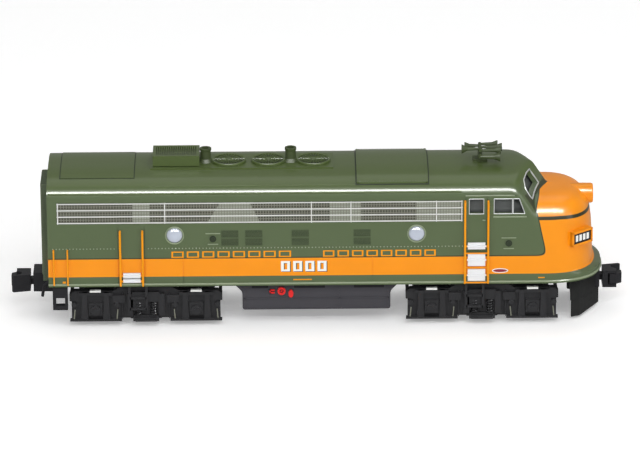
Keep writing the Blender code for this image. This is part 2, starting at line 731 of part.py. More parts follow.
def motor_shaft(pivot):
    """Shaft with a worm near each end, and a flywheel pressed on each side of the motor."""
    worm_half = 2.6
    front, rear = FRONT_TRUCK_X - MOTOR_X, REAR_TRUCK_X - MOTOR_X
    profile = [(0, front + 3.4), (SHAFT_RADIUS, front + 3.4)]
    for middle in (front, rear):
        threads = 5
        profile.append((SHAFT_RADIUS, middle + worm_half))
        for thread in range(threads):
            top = middle + worm_half - thread * 2 * worm_half / threads
            pitch = 2 * worm_half / threads
            profile.append((0.72, top - 0.1 * pitch))
            profile.append((WORM_RADIUS, top - 0.4 * pitch))
            profile.append((WORM_RADIUS, top - 0.6 * pitch))
            profile.append((0.72, top - 0.9 * pitch))
        profile.append((SHAFT_RADIUS, middle - worm_half))
    profile += [(SHAFT_RADIUS, rear - 3.4), (0, rear - 3.4)]
    shaft = turned("motor_shaft", profile, (MOTOR_X, 0, SHAFT_Z), (1, 0, 0), steps=10)
    hang(dress(shaft, "steel"), pivot)
    for label, side in (("front", 1), ("rear", -1)):
        near = side * (MOTOR_HALF_LENGTH + 0.6)
        far = near + side * FLYWHEEL_LENGTH
        high, low = max(near, far), min(near, far)
        bore = SHAFT_RADIUS + GAP
        ring = ((bore, high), (FLYWHEEL_RADIUS - 0.15, high), (FLYWHEEL_RADIUS, high - 0.15),
                (FLYWHEEL_RADIUS, low + 0.15), (FLYWHEEL_RADIUS - 0.15, low), (bore, low), (bore, high))
        wheel = turned("flywheel_" + label, ring, (MOTOR_X, 0, SHAFT_Z), (1, 0, 0), steps=16)
        hang(dress(wheel, "brass"), pivot)


def circuit_board():
    board = box("circuit_board", (-24, 16.8), (-5.2, 5.2), (15.5, 15.95))
    lamp = box("lamp", (15.8, 17.5), (-0.8, 0.8), (15.5, 16.6))
    chip = box("chip", (-4, 2), (-2.2, 2.2), (15.8, 16.7))
    return dress(join(board, lamp, chip), "board")


def fuel_tank():
    """Tank with sloping end brackets, slung under the chassis."""
    top = CHASSIS_BOTTOM - GAP
    outline = ((-9.2, 2.1), (9.1, 2.1), (9.1, 4.4), (10.6, top), (-10.7, top), (-9.2, 4.4))
    tank = slab("fuel_tank", [outline], -6.1, 6.1)
    bevel = tank.modifiers.new("edges", "BEVEL")
    bevel.width = 0.25 * MM
    bevel.segments = 2
    bevel.limit_method = "ANGLE"
    return dress(tank, "dark_grey")


# ------------------------------------------------------------------ trucks


def gear_outline(teeth, phase):
    """Tooth outline; phase is the plan angle of the first tooth."""
    pitch = teeth * MODULE / 2
    half = math.pi / teeth / 2 * 0.84
    points = []
    for tooth in range(teeth):
        middle = phase + 2 * math.pi * tooth / teeth
        for radius, spread in ((pitch - DEDENDUM, -1.5), (pitch + ADDENDUM, -0.5),
                               (pitch + ADDENDUM, 0.5), (pitch - DEDENDUM, 1.5)):
            angle = middle + spread * half
            points.append((radius * math.cos(angle), radius * math.sin(angle)))
    return points


def moved(outline, x, z):
    return [(x + u, z + v) for u, v in outline]


def meshing_phase(driver_teeth, driver_phase, driven_teeth, line):
    """First-tooth angle that puts a gap of the driven gear on a tooth of its driver."""
    steps = (line - driver_phase) / (2 * math.pi / driver_teeth)
    offset = (steps - round(steps)) * 2 * math.pi / driver_teeth
    travel = offset * driver_teeth / driven_teeth
    return line + math.pi + math.pi / driven_teeth + travel


def circle(radius, x, z, sides=16):
    return [(x + radius * math.cos(2 * math.pi * k / sides), z + radius * math.sin(2 * math.pi * k / sides))
            for k in range(sides)]


def geared(name, teeth, phase, x, z, pivot):
    """A gear with its own stub shafts."""
    gear = slab(name, [moved(gear_outline(teeth, phase), x, z)], -GEAR_HALF_WIDTH, GEAR_HALF_WIDTH)
    stub = rod(name + "_stub", (x, -STUB_HALF_LENGTH, z), (x, STUB_HALF_LENGTH, z), STUB_RADIUS, sides=8)
    join(gear, stub)
    return hang(dress(gear, "nylon"), pivot)


def truck_gears(label, middle, swivel):
    wheel_phase = math.pi / 2
    spin = empty("worm_wheel_%s_axis" % label, (middle, 0, WORM_WHEEL_Z), swivel)
    geared("worm_wheel_" + label, WORM_WHEEL_TEETH, wheel_phase, middle, WORM_WHEEL_Z, spin)
    for side, where in ((1, "front"), (-1, "rear")):
        line = math.atan2(IDLER_Z - WORM_WHEEL_Z, side * IDLER_X)
        idler_phase = meshing_phase(WORM_WHEEL_TEETH, wheel_phase, IDLER_TEETH, line)
        x = middle + side * IDLER_X
        name = "idler_gear_%s_%s" % (label, where)
        spin = empty(name + "_axis", (x, 0, IDLER_Z), swivel)
        geared(name, IDLER_TEETH, idler_phase, x, IDLER_Z, spin)
        axle_phase = meshing_phase(IDLER_TEETH, idler_phase, AXLE_TEETH, line)
        wheelset(label, where, middle + side * WHEELBASE / 2, axle_phase, swivel)


def wheelset(label, where, x, phase, swivel):
    """Two wheels on an axle, and the gear pressed on its middle."""
    spin = empty("axle_%s_%s_axis" % (label, where), (x, 0, AXLE_Z), swivel)
    half = ((0, 4.45), (0.3, 4.45), (0.45, 4.15), (1.5, 4.15), (1.65, WHEEL_OUTER),
            (TREAD_RADIUS, WHEEL_OUTER), (TREAD_RADIUS, FLANGE_OUTER),
            (FLANGE_RADIUS, FLANGE_OUTER - 0.1), (FLANGE_RADIUS, WHEEL_INNER), (AXLE_RADIUS, WHEEL_INNER))
    profile = list(half) + [(radius, -height) for radius, height in reversed(half)]
    name = "wheelset_%s_%s" % (label, where)
    hang(dress(turned(name, profile, (x, 0, AXLE_Z), (0, 1, 0), steps=16), "steel"), spin)
    rings = [moved(gear_outline(AXLE_TEETH, phase), x, AXLE_Z),
             circle(AXLE_RADIUS + GAP, x, AXLE_Z, sides=12)]
    gear = slab("axle_gear_%s_%s" % (label, where), rings, -GEAR_HALF_WIDTH, GEAR_HALF_WIDTH)
    hang(dress(gear, "nylon"), spin)


def truck_housing(label, middle, swivel):
    """Gear case with its tower; the gears run in a slot down its middle."""
    half = ((TOWER_HALF_LENGTH, TOWER_TOP), (TOWER_HALF_LENGTH, 5.5), (5.6, 4.7),
            (CASE_HALF_LENGTH, 3.7), (CASE_HALF_LENGTH, CASE_BOTTOM))
    outline = list(half) + [(-x, z) for x, z in reversed(half)]
    housing = slab("truck_housing_" + label, [moved(outline, middle, 0)], -CASE_HALF_WIDTH, CASE_HALF_WIDTH)
    slot_y = (-GEAR_HALF_WIDTH - 0.2, GEAR_HALF_WIDTH + 0.2)
    cut(housing, box("gear_slot", (middle - 8.0, middle + 8.0), slot_y, (0, 6.6)))
    cut(housing, box("tower_slot", (middle - 2.9, middle + 2.9), slot_y, (6, 9)))
    for side in (1, -1):
        axle = middle + side * WHEELBASE / 2
        cut(housing, box("axle_slot", (axle - 0.6, axle + 0.6), (-5, 5), (0, AXLE_Z + 0.6)))
        stub_x = middle + side * IDLER_X
        cut(housing, rod("idler_hole", (stub_x, -5, IDLER_Z), (stub_x, 5, IDLER_Z),
                         STUB_RADIUS + GAP, sides=8))
    cut(housing, rod("worm_wheel_hole", (middle, -5, WORM_WHEEL_Z), (middle, 5, WORM_WHEEL_Z),
                     STUB_RADIUS + GAP, sides=8))
    return hang(dress(housing, "dark_grey"), swivel)


def truck_frame(label, middle, swivel):
    """Both side frames, the end beams and the keeper plate in one moulding."""
    right = list(FRAME_TOP) + list(FRAME_HALF)
    outline = right + [(-x, z) for x, z in reversed(right)]
    outline = moved(outline, middle, 0)
    keeper_z = (0.85, 1.15)
    frame = box("truck_frame_" + label, (middle - 8.2, middle + 8.2), (-2.0, 2.0), keeper_z)
    across = (-FRAME_INNER - 0.2, FRAME_INNER + 0.2)
    join(frame, box("transom", (middle - 1.5, middle + 1.5), across, keeper_z))
    for side in (1, -1):
        limits = mirrored(side, (FRAME_INNER, FRAME_OUTER))
        join(frame, slab("side_frame", [outline], *limits))
        beam = sorted((middle + side * 9.0, middle + side * 9.4))
        join(frame, box("end_beam", beam, across, (3.5, 4.1)))
        for end in (1, -1):
            x = middle + end * WHEELBASE / 2
            start = (x, side * (FRAME_OUTER - 0.3), AXLE_Z)
            join(frame, rod("journal", start, (x, side * 6.15, AXLE_Z), 0.75, sides=14))
        spring_y = mirrored(side, (FRAME_OUTER - 0.2, 6.1))
        join(frame, box("spring_seat", (middle - 1.55, middle + 1.55), spring_y, (0.97, 1.5)))
        x = middle + side * WHEELBASE / 2
        cut(frame, box("gear_window", (x - 1.3, x + 1.3), (-0.8, 0.8), (0, 2)))
    return hang(dress(frame, "black"), swivel)


# ------------------------------------------------------------------ ends


def coupler(label, end):
    """Draft box on the chassis, a swinging coupler in it and its knuckle."""
    def ahead(*limits):
        return tuple(sorted(end * value for value in limits))

    draft = box("coupler_box_" + label, ahead(31.75, COUPLER_BOX_FRONT), (-1.55, 1.55),
                (COUPLER_Z - 0.95, 5.5))
    cut(draft, box("coupler_slot", ahead(32.2, 36), (-1.25, 1.25), (COUPLER_Z - 0.5, COUPLER_Z + 0.5)))
    join(draft, rod("coupler_pin", (end * COUPLER_PIVOT, 0, COUPLER_Z - 0.7),
                    (end * COUPLER_PIVOT, 0, COUPLER_Z + 0.7), 0.3, sides=12))
    if label == "rear":
        rear_steps(draft)
    dress(draft, "black")

    swing = empty("coupler_%s_axis" % label, (end * COUPLER_PIVOT, 0, COUPLER_Z))
    shank = ((COUPLER_PIVOT - 0.6, 0.55), (COUPLER_TIP - 2.2, 0.5))
    bar = [(end * x, y) for x, y in shank] + [(end * x, -y) for x, y in reversed(shank)]
    hole = circle(0.3 + GAP, end * COUPLER_PIVOT, 0, sides=12)
    piece = slab("coupler_" + label, [bar, hole], COUPLER_Z - 0.4, COUPLER_Z + 0.4, "Z")
    head = [(end * (COUPLER_TIP + x), end * y) for x, y in HEAD_OUTLINE]
    head_z = (COUPLER_Z - HEAD_HALF_HEIGHT, COUPLER_Z + HEAD_HALF_HEIGHT)
    join(piece, slab("coupler_head", [head], *head_z, "Z"))
    slot_z = (COUPLER_Z - 0.75, COUPLER_Z + 0.75)
    slot_x = ahead(COUPLER_TIP - 1.72, COUPLER_TIP + 0.4)
    cut(piece, box("knuckle_slot", slot_x, mirrored(end, (-0.05, -2)), slot_z))
    pin = (end * (COUPLER_TIP + KNUCKLE_PIN[0]), end * KNUCKLE_PIN[1])
    join(piece, rod("knuckle_pin", (*pin, COUPLER_Z - 0.9), (*pin, COUPLER_Z + 0.9), 0.2, sides=10))
    hang(dress(piece, "black"), swing)

    turn = empty("knuckle_%s_axis" % label, (*pin, COUPLER_Z), swing)
    outline = [(end * (COUPLER_TIP + x), end * y) for x, y in KNUCKLE_OUTLINE]
    bore = circle(0.2 + GAP, *pin, sides=10)
    knuckle = slab("knuckle_" + label, [outline, bore], slot_z[0] + GAP, slot_z[1] - GAP, "Z")
    hang(dress(knuckle, "black"), turn)


def rear_steps(draft):
    """Corner steps and the beam that carries them behind the rear coupler."""
    join(draft, box("rear_beam", (-32.9, -31.8), (-6.1, 6.1), (5.0, 5.5)))
    for side in (1, -1):
        step = box("rear_step", (-32.6, -30.75), mirrored(side, (5.95, 6.75)), (2.5, 5.45))
        hole = box("step_hole", (-32.2, -31.1), (-8, 8), (3.1, 4.1))
        join(draft, cut(step, hole))


def snow_plow():
    """V plow under the nose, a bent blade with a mounting plate above."""
    blade = ((35.2, 0.0), (32.6, -4.6), (31.5, -5.1), (31.5, -4.6), (32.2, -4.2), (34.4, -0.3),
             (34.4, 0.3), (32.2, 4.2), (31.5, 4.6), (31.5, 5.1), (32.6, 4.6))
    plow = slab("snow_plow", [blade], 0.42, 2.75, "Z")
    sides = ((34.6, 1.75), (32.6, 4.6), (31.5, 5.1), (31.5, 1.75))
    for side in (1, -1):
        cheek = [(x, side * y) for x, y in sides]
        join(plow, slab("plow_cheek", [cheek], 2.6, 5.5, "Z"))
    return dress(plow, "black")


# ------------------------------------------------------------------ assembly


def locomotive():
    body_shell()
    headlight()
    cab_glazing()
    side_trim()
    number_boards()
    roof_fittings()
    brake_hatch()
    air_horn()
    steps_and_grabs()
    rear_gangway()
    chassis()
    chassis_screws()
    motor()
    motor_shaft(empty("motor_axis", (MOTOR_X, 0, SHAFT_Z)))
    circuit_board()
    fuel_tank()
    for label, middle in (("front", FRONT_TRUCK_X), ("rear", REAR_TRUCK_X)):
        swivel = empty("truck_%s_axis" % label, (middle, 0, WORM_WHEEL_Z))
        truck_housing(label, middle, swivel)
        truck_frame(label, middle, swivel)
        truck_gears(label, middle, swivel)
    coupler("front", 1)
    coupler("rear", -1)
    snow_plow()


clear_scene()
PARTS = new_collection("diesel_locomotive")
CUTTERS = new_collection("cutters")
locomotive()
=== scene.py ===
"""Looks of the cab-unit diesel locomotive: fine geometry, paint, camera and light.

Sizes are in millimetres in the part's own frame (+X forward, +Y left, +Z up) and MM
turns them into metres.  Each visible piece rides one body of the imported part.
"""
import math

import bmesh
import bpy
from mathutils import Matrix, Vector


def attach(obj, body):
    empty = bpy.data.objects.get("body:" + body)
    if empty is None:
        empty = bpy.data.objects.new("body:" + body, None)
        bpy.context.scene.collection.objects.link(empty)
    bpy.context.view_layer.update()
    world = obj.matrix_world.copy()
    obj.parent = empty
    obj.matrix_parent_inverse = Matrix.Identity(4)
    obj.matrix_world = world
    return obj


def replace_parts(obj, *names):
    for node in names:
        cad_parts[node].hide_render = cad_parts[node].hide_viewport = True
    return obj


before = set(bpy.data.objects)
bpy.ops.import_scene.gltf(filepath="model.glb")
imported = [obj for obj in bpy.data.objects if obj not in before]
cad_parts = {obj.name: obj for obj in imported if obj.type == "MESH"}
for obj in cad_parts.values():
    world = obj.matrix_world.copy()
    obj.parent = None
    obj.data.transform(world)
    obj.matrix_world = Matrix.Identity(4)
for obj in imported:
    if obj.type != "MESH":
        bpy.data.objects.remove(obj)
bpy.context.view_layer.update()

MM = 0.001
SIDES = (("right", -1), ("left", 1))

# Body shell, the same surface as the part's
BODY_HALF_WIDTH = 7.0
BODY_BOTTOM = 5.65
BODY_REAR = -33.05
EAVE = 16.9
ROOF_TOP = 19.4
ROOF_POWER = 2.6
WALL = 0.6
SCREEN_X = 28.2
SCREEN_Z = 17.0
SCREEN_RAKE = 0.66
SCREEN_SWEEP = 0.42
SCREEN_SOFT = 0.9
SCREEN_DROP = 4.5               # below the sill by this much the planes turn upright
NOSE_ROOT = 28.0
NOSE_REACH = 6.35
NOSE_LEAN = 0.05
NOSE_SHOULDER = 10.0
NOSE_TOP = 16.4
NOSE_PLAN_POWER = 2.4
NOSE_CROWN_POWER = 4.0
NOSE_SOFT = 0.35
NOSE_CREASE = 13.5              # the fillet between nose and cab starts at this height
PILOT_FLARE = 1.0
PILOT_RAMP = 0.5
PILOT_TOP = 7.05
CAB_CENTRE = 20.0
CAB_AIM = 11.0

# Openings and side features
WINDOW_Z = (14.85, 16.8)
DOOR_WINDOW_X = (18.75, 20.55)
SIDE_WINDOW_X = (21.8, 24.05)
QUARTER_WINDOW = ((24.15, 14.85), (25.6, 14.85), (24.9, 16.8), (24.15, 16.8))
SCREEN_PANE = ((1.7, 16.95), (2.4, 16.85), (3.2, 16.7), (4.0, 16.5), (4.8, 16.25), (5.25, 16.1),
               (5.35, 16.6), (5.2, 17.5), (4.3, 18.3), (2.9, 18.65), (1.7, 18.75))
GRILLE_X = (-31.85, 17.95)
GRILLE_Z = (13.9, 16.65)
GRILLE_DEPTH = 0.25
GRILLE_RAILS = (14.02, 14.85, 15.68, 16.52)
GRILLE_POSTS = (-31.75, -18.6, -0.6, 4.25, 14.75, 17.85)
GRILLE_PITCH = 0.34
GRILLE_ROWS = 8
GRILLE_PATCHES = ((-22.6, -20.5), (1.6, 5.5), (12.3, 17.7))
GRILLE_SLOPED_PATCH = ((-13.35, 14.0), (-6.95, 14.0), (-8.2, 16.55), (-11.8, 16.55))
PORTHOLE_X = (-17.45, 12.3)
PORTHOLE_Z = 12.35
PORTHOLE_RADIUS = 1.08
LOUVRE_X = (-10.65, -7.7, -2.0, 5.6)
LOUVRE_Z = (10.95, 12.95)
LOUVRE_WIDTH = 2.1
LOUVRE_SLATS = 6
RIVET_Z = 10.65
RIVET_PITCH = 0.42
CAB_DOOR_X = 18.0               # the rivets end here
DOORWAY_X = -22.8               # middle of the rear doorway
FILLERS = ((-12.73, 11.87), (23.64, 11.0))
SEAMS = ((18.32, 6.2, 17.1), (20.98, 6.2, 17.1), (-24.4, 6.1, 13.6), (-21.15, 6.1, 13.6),
         (-16.4, 6.0, 10.4), (6.9, 6.0, 10.4))

# Plain blocks along the sides: start, end and count of each row, then the tall ones
BLOCK_ROWS = ((-18.0, -2.9, 8), (0.65, 14.9, 8))
BLOCK_Z = (9.42, 10.24)
TALL_BLOCK_X = -4.4
TALL_BLOCK_PITCH = 1.5
TALL_BLOCK_SIZE = (1.12, 1.35)
OVAL_PLACE = (22.6, 7.4)
SMALL_MARKS = (((-2.9, -0.6), (6.36, 6.5)), ((27.3, 28.1), (6.36, 6.5)),
               ((-31.3, -30.9), (6.15, 6.4)))

# Edges of the orange paint on the green body
BAND_Z = (6.93, 9.3)            # the band along the sides
BAND_CORNER = 1.6               # radius where the band turns up behind the nose
CAB_EDGE = (28.06, 10.64)       # X and Z of a point on the edge up the cab side
CAB_EDGE_LEAN = -0.2165         # X per unit of Z along that edge
BROW = (27.05, 14.76)           # above this point the edge sweeps forward as a parabola
BROW_SWEEP = 0.19
SCREEN_FOOT = 14.6              # the cab front is green above this height
BELT_Z = 14.07                  # the belt round the nose
BELT_HALF = (0.22, 0.2)         # how far it reaches down and up
BELT_START = 27.2
BELT_DROP = (30.0, 0.08)        # ahead of this X it drops by this much per mm
ROOF_PAINTED_SHADE = (17.4, 1.2)        # height and depth of the painted shade that darkens the roof's green
CROWN_PAINTED_HIGHLIGHT = (14.2, 0.8)       # the same for the painted highlight that lightens the nose crown's orange
PAINT_RAMP = 0.05

# Roof and ends
ROOF_DECK = 19.52
FAN_X = (-10.75, -5.85, -0.3)
FAN_RADIUS = 2.15
STACK_X = (-13.6, -3.1)
HATCH_X = (-20.1, -14.35)
HATCH_TOP = 20.9
HORN_X = 20.3
BRAKE_HATCH_X = (5.1, 13.6)
BRAKE_HATCH_HALF = 6.0
REAR_PANEL_X = (-31.4, -22.4)
REAR_PANEL_HALF = 4.65
HEADLIGHT_Z = 14.95
HEADLIGHT_RADIUS = 1.25
HEADLIGHT_FRONT = 34.3
NUMBER_BOARD_Z = 11.3
NUMBER_BOARD_TURN = 50          # degrees away from straight ahead

# Running gear
TRUCKS = (("front", 20.43), ("rear", -21.13))
HALF_WHEELBASE = 6.235
AXLE_Z = 2.3
FRAME_FACE = 5.7                # relief on the side frames starts here on Y
TANK_FACE = 6.0                 # and on the fuel tank here
TANK_X = (-9.0, 8.9)
TANK_RIBS = ((-9.1, -8.85), (2.75, 2.95), (8.75, 9.0))
TANK_SLOTS = ((-8.0, -6.0), (-2.8, 1.0), (4.6, 8.3))
VALVE_Z = 4.64

# Camera: angles in degrees, distance and lens in mm, shift in parts of the sensor width
AZIMUTH = -0.333
ELEVATION = 21.481
ROLL = -0.346
DISTANCE = 652.95
LENS = 293.92
SENSOR = 36
SHIFT = (0.0053, 0.1204)

# ---- body surface


def soft_max(a, b, radius):
    """The larger of two distances, rounded over a radius where they cross."""
    h = max(radius - abs(a - b), 0.0) / radius
    return max(a, b) + h * h * radius / 4


def power_sum(values, power):
    return sum(value ** power for value in values) ** (1 / power)


def car_body(y, z, inset):
    """Below 0 inside the straight body: flat sides and an arched roof."""
    half = BODY_HALF_WIDTH - inset
    up = max(z - EAVE, 0.0) / (ROOF_TOP - inset - EAVE)
    return (power_sum((abs(y) / half, up), ROOF_POWER) - 1) * half


def screens(x, y, z, inset):
    """Below 0 behind both windshield planes."""
    height = max(z - SCREEN_Z, -SCREEN_DROP)
    past = x + SCREEN_RAKE * height + SCREEN_SWEEP * abs(y) - SCREEN_X
    return past / math.sqrt(1 + SCREEN_RAKE ** 2 + SCREEN_SWEEP ** 2) + inset


def nose(x, y, z, inset):
    """Below 0 inside the rounded nose, which runs back into the cab."""
    half = BODY_HALF_WIDTH - inset
    flare = PILOT_FLARE * min(max((PILOT_TOP - z) / PILOT_RAMP, 0.0), 1.0)
    length = NOSE_REACH + flare - NOSE_LEAN * max(z - PILOT_TOP, 0.0) - inset
    plan = power_sum((max(x - NOSE_ROOT, 0.0) / length, abs(y) / half), NOSE_PLAN_POWER)
    up = max(z - NOSE_SHOULDER, 0.0) / (NOSE_TOP - inset - NOSE_SHOULDER)
    return (power_sum((plan, up), NOSE_CROWN_POWER) - 1) * half


def surface(x, y, z, inset):
    cab = soft_max(car_body(y, z, inset), screens(x, y, z, inset), SCREEN_SOFT)
    crease = NOSE_SOFT * min(max((z - NOSE_CREASE) / 2, 0.001), 1.0)
    return -soft_max(-cab, -nose(x, y, z, inset), crease)


def reach(start, direction, inset):
    """Distance from a point to the surface along a direction."""
    low, high = 0.0, 30.0
    for _ in range(28):
        middle = (low + high) / 2
        if surface(*(start + direction * middle), inset) < 0:
            low = middle
        else:
            high = middle
    return low


def section(turn, inset, levels, fan):
    """Points from the bottom edge up to the roof, in the plane at one plan angle."""
    outward = Vector((math.sin(turn), -math.cos(turn), 0))
    points = []
    for level in levels:
        start = Vector((CAB_CENTRE, 0, level))
        points.append(start + outward * reach(start, outward, inset))
    start = Vector((CAB_CENTRE, 0, CAB_AIM))
    for step in range(1, fan):
        angle = math.pi / 2 * step / fan
        direction = outward * math.cos(angle) + Vector((0, 0, math.sin(angle)))
        points.append(start + direction * reach(start, direction, inset))
    return points


def outline_at(level, lift, turns=90, rear=BODY_REAR):
    """Plan outline of the body at one height, from the right rear round the nose."""
    start = Vector((CAB_CENTRE, 0, level))
    points = [Vector((rear, -BODY_HALF_WIDTH - lift, level))]
    for step in range(turns + 1):
        turn = math.pi * step / turns
        outward = Vector((math.sin(turn), -math.cos(turn), 0))
        points.append(start + outward * reach(start, outward, -lift))
    points.append(Vector((rear, BODY_HALF_WIDTH + lift, level)))
    return points


def roof_height(y, lift):
    """Height of the roof at one Y, or of a surface lifted off it."""
    start = Vector((0, y, EAVE))
    return EAVE + reach(start, Vector((0, 0, 1)), -lift)


# ---- geometry kit


def along(axis):
    """Rotation that turns +Z onto an axis."""
    return Vector((0, 0, 1)).rotation_difference(Vector(axis)).to_matrix().to_4x4()


def link(obj):
    bpy.context.scene.collection.objects.link(obj)


class Kit:
    """Collects simple solids into one piece."""

    def __init__(self):
        self.bm = bmesh.new()

    def box(self, x, y, z):
        size = Matrix.Diagonal((x[1] - x[0], y[1] - y[0], z[1] - z[0], 1.0))
        middle = Vector((sum(x), sum(y), sum(z))) / 2
        bmesh.ops.create_cube(self.bm, size=1.0, matrix=Matrix.Translation(middle) @ size)

    def block(self, centre, size, turn=0.0):
        """A box about its centre, turned about the vertical."""
        place = Matrix.Translation(Vector(centre)) @ Matrix.Rotation(turn, 4, "Z")
        bmesh.ops.create_cube(self.bm, size=1.0, matrix=place @ Matrix.Diagonal((*size, 1.0)))

    def rod(self, start, end, radius, end_radius=None, sides=16):
        start, end = Vector(start), Vector(end)
        place = Matrix.Translation((start + end) / 2) @ along((end - start).normalized())
        bmesh.ops.create_cone(self.bm, cap_ends=True, segments=sides, radius1=radius,
                              radius2=radius if end_radius is None else end_radius,
                              depth=(end - start).length, matrix=place)

    def ball(self, centre, radius, stretch=(1, 1, 1), sides=10):
        place = Matrix.Translation(Vector(centre)) @ Matrix.Diagonal((*stretch, 1.0))
        bmesh.ops.create_uvsphere(self.bm, u_segments=sides, v_segments=sides // 2 + 1,
                                  radius=radius, matrix=place)

    def prism(self, outline, low, high, axis):
        """An outline of (y, z), (x, z) or (x, y) points extruded along X, Y or Z."""
        def place(u, v, level):
            return {"X": (level, u, v), "Y": (u, level, v), "Z": (u, v, level)}[axis]
        rings = [[self.bm.verts.new(place(u, v, level)) for u, v in outline] for level in (low, high)]
        self.bm.faces.new(rings[0])
        self.bm.faces.new(rings[1])
        for near, far in zip(range(len(outline)), list(range(1, len(outline))) + [0]):
            self.bm.faces.new((rings[0][near], rings[0][far], rings[1][far], rings[1][near]))

    def tube(self, points, radius, sides=8, closed=False):
        """A round wire through points."""
        points = [Vector(point) for point in points]
        count = len(points)
        rings = []
        for index, point in enumerate(points):
            before = points[index - 1] if index or closed else point
            after = points[(index + 1) % count] if index + 1 < count or closed else point
            turn = along((after - before).normalized())
            ring = []
            for step in range(sides):
                angle = 2 * math.pi * step / sides
                offset = turn @ Vector((radius * math.cos(angle), radius * math.sin(angle), 0))
                ring.append(self.bm.verts.new(point + offset))
            rings.append(ring)
        pairs = list(zip(rings, rings[1:])) + ([(rings[-1], rings[0])] if closed else [])
        for first, second in pairs:
            for step in range(sides):
                after = (step + 1) % sides
                self.bm.faces.new((first[step], first[after], second[after], second[step]))
        if not closed:
            self.bm.faces.new(rings[0])
            self.bm.faces.new(rings[-1])

    def turned(self, profile, centre, axis, steps=32):
        """A closed ring of (radius, height) points turned about an axis."""
        place = Matrix.Translation(Vector(centre)) @ along(axis)
        rings = []
        for step in range(steps):
            angle = 2 * math.pi * step / steps
            across, up = math.cos(angle), math.sin(angle)
            rings.append([self.bm.verts.new(place @ Vector((r * across, r * up, h)))
                          for r, h in profile])
        count = len(profile)
        for first, second in zip(rings, rings[1:] + rings[:1]):
            for low in range(count):
                high = (low + 1) % count
                self.bm.faces.new((first[low], second[low], second[high], first[high]))

    def object(self, name, angle=40):
        bmesh.ops.recalc_face_normals(self.bm, faces=self.bm.faces)
        bmesh.ops.scale(self.bm, vec=(MM, MM, MM), verts=self.bm.verts)
        mesh = bpy.data.meshes.new(name)
        self.bm.to_mesh(mesh)
        self.bm.free()
        obj = bpy.data.objects.new(name, mesh)
        link(obj)
        return soften(obj, angle)

    def piece(self, name, material, slot="body_shell", body="chassis", angle=40):
        return dress(self.object(name, angle), material, body)


def soften(obj, angle):
    obj.data.shade_smooth()
    obj.data.set_sharp_from_angle(angle=math.radians(angle))
    return obj


def dress(obj, material, body="chassis"):
    """Give a piece its material, and let it ride a body."""
    obj.data.materials.clear()
    obj.data.materials.append(material)
    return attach(obj, body)


def around(middle, half):
    """Limits that lie evenly about a middle."""
    return (middle - half, middle + half)


def span(side, near, far):
    """Limits on Y for one side of the locomotive."""
    return tuple(sorted((side * near, side * far)))


def mirrored(outline, side):
    """An outline of (y, z) points for one side of the locomotive."""
    return [(side * y, z) for y, z in outline]


# ---- materials


def rgb(red, green, blue):
    """Linear colour of an 8-bit display colour."""
    def linear(value):
        value /= 255
        return value / 12.92 if value <= 0.04045 else ((value + 0.055) / 1.055) ** 2.4
    return (linear(red), linear(green), linear(blue), 1.0)


GREEN = rgb(86, 100, 69)
# Darker, yellower green for the roof: painted shade on the body's own green
ROOF_SHADED_GREEN = rgb(80, 96, 50)
BELT_GREEN = rgb(42, 47, 24)
ORANGE = rgb(239, 144, 0)
# Lighter orange for the nose crown: painted highlight on the nose's own orange
CROWN_LIT_ORANGE = rgb(255, 152, 0)
BLACK = rgb(35, 35, 38)
TRUCK_BLACK = rgb(43, 43, 45)
YELLOW = rgb(236, 150, 8)
PLATE_WHITE = rgb(226, 228, 230)
SHEEN = 0.2                     # specular level of every paint and plastic


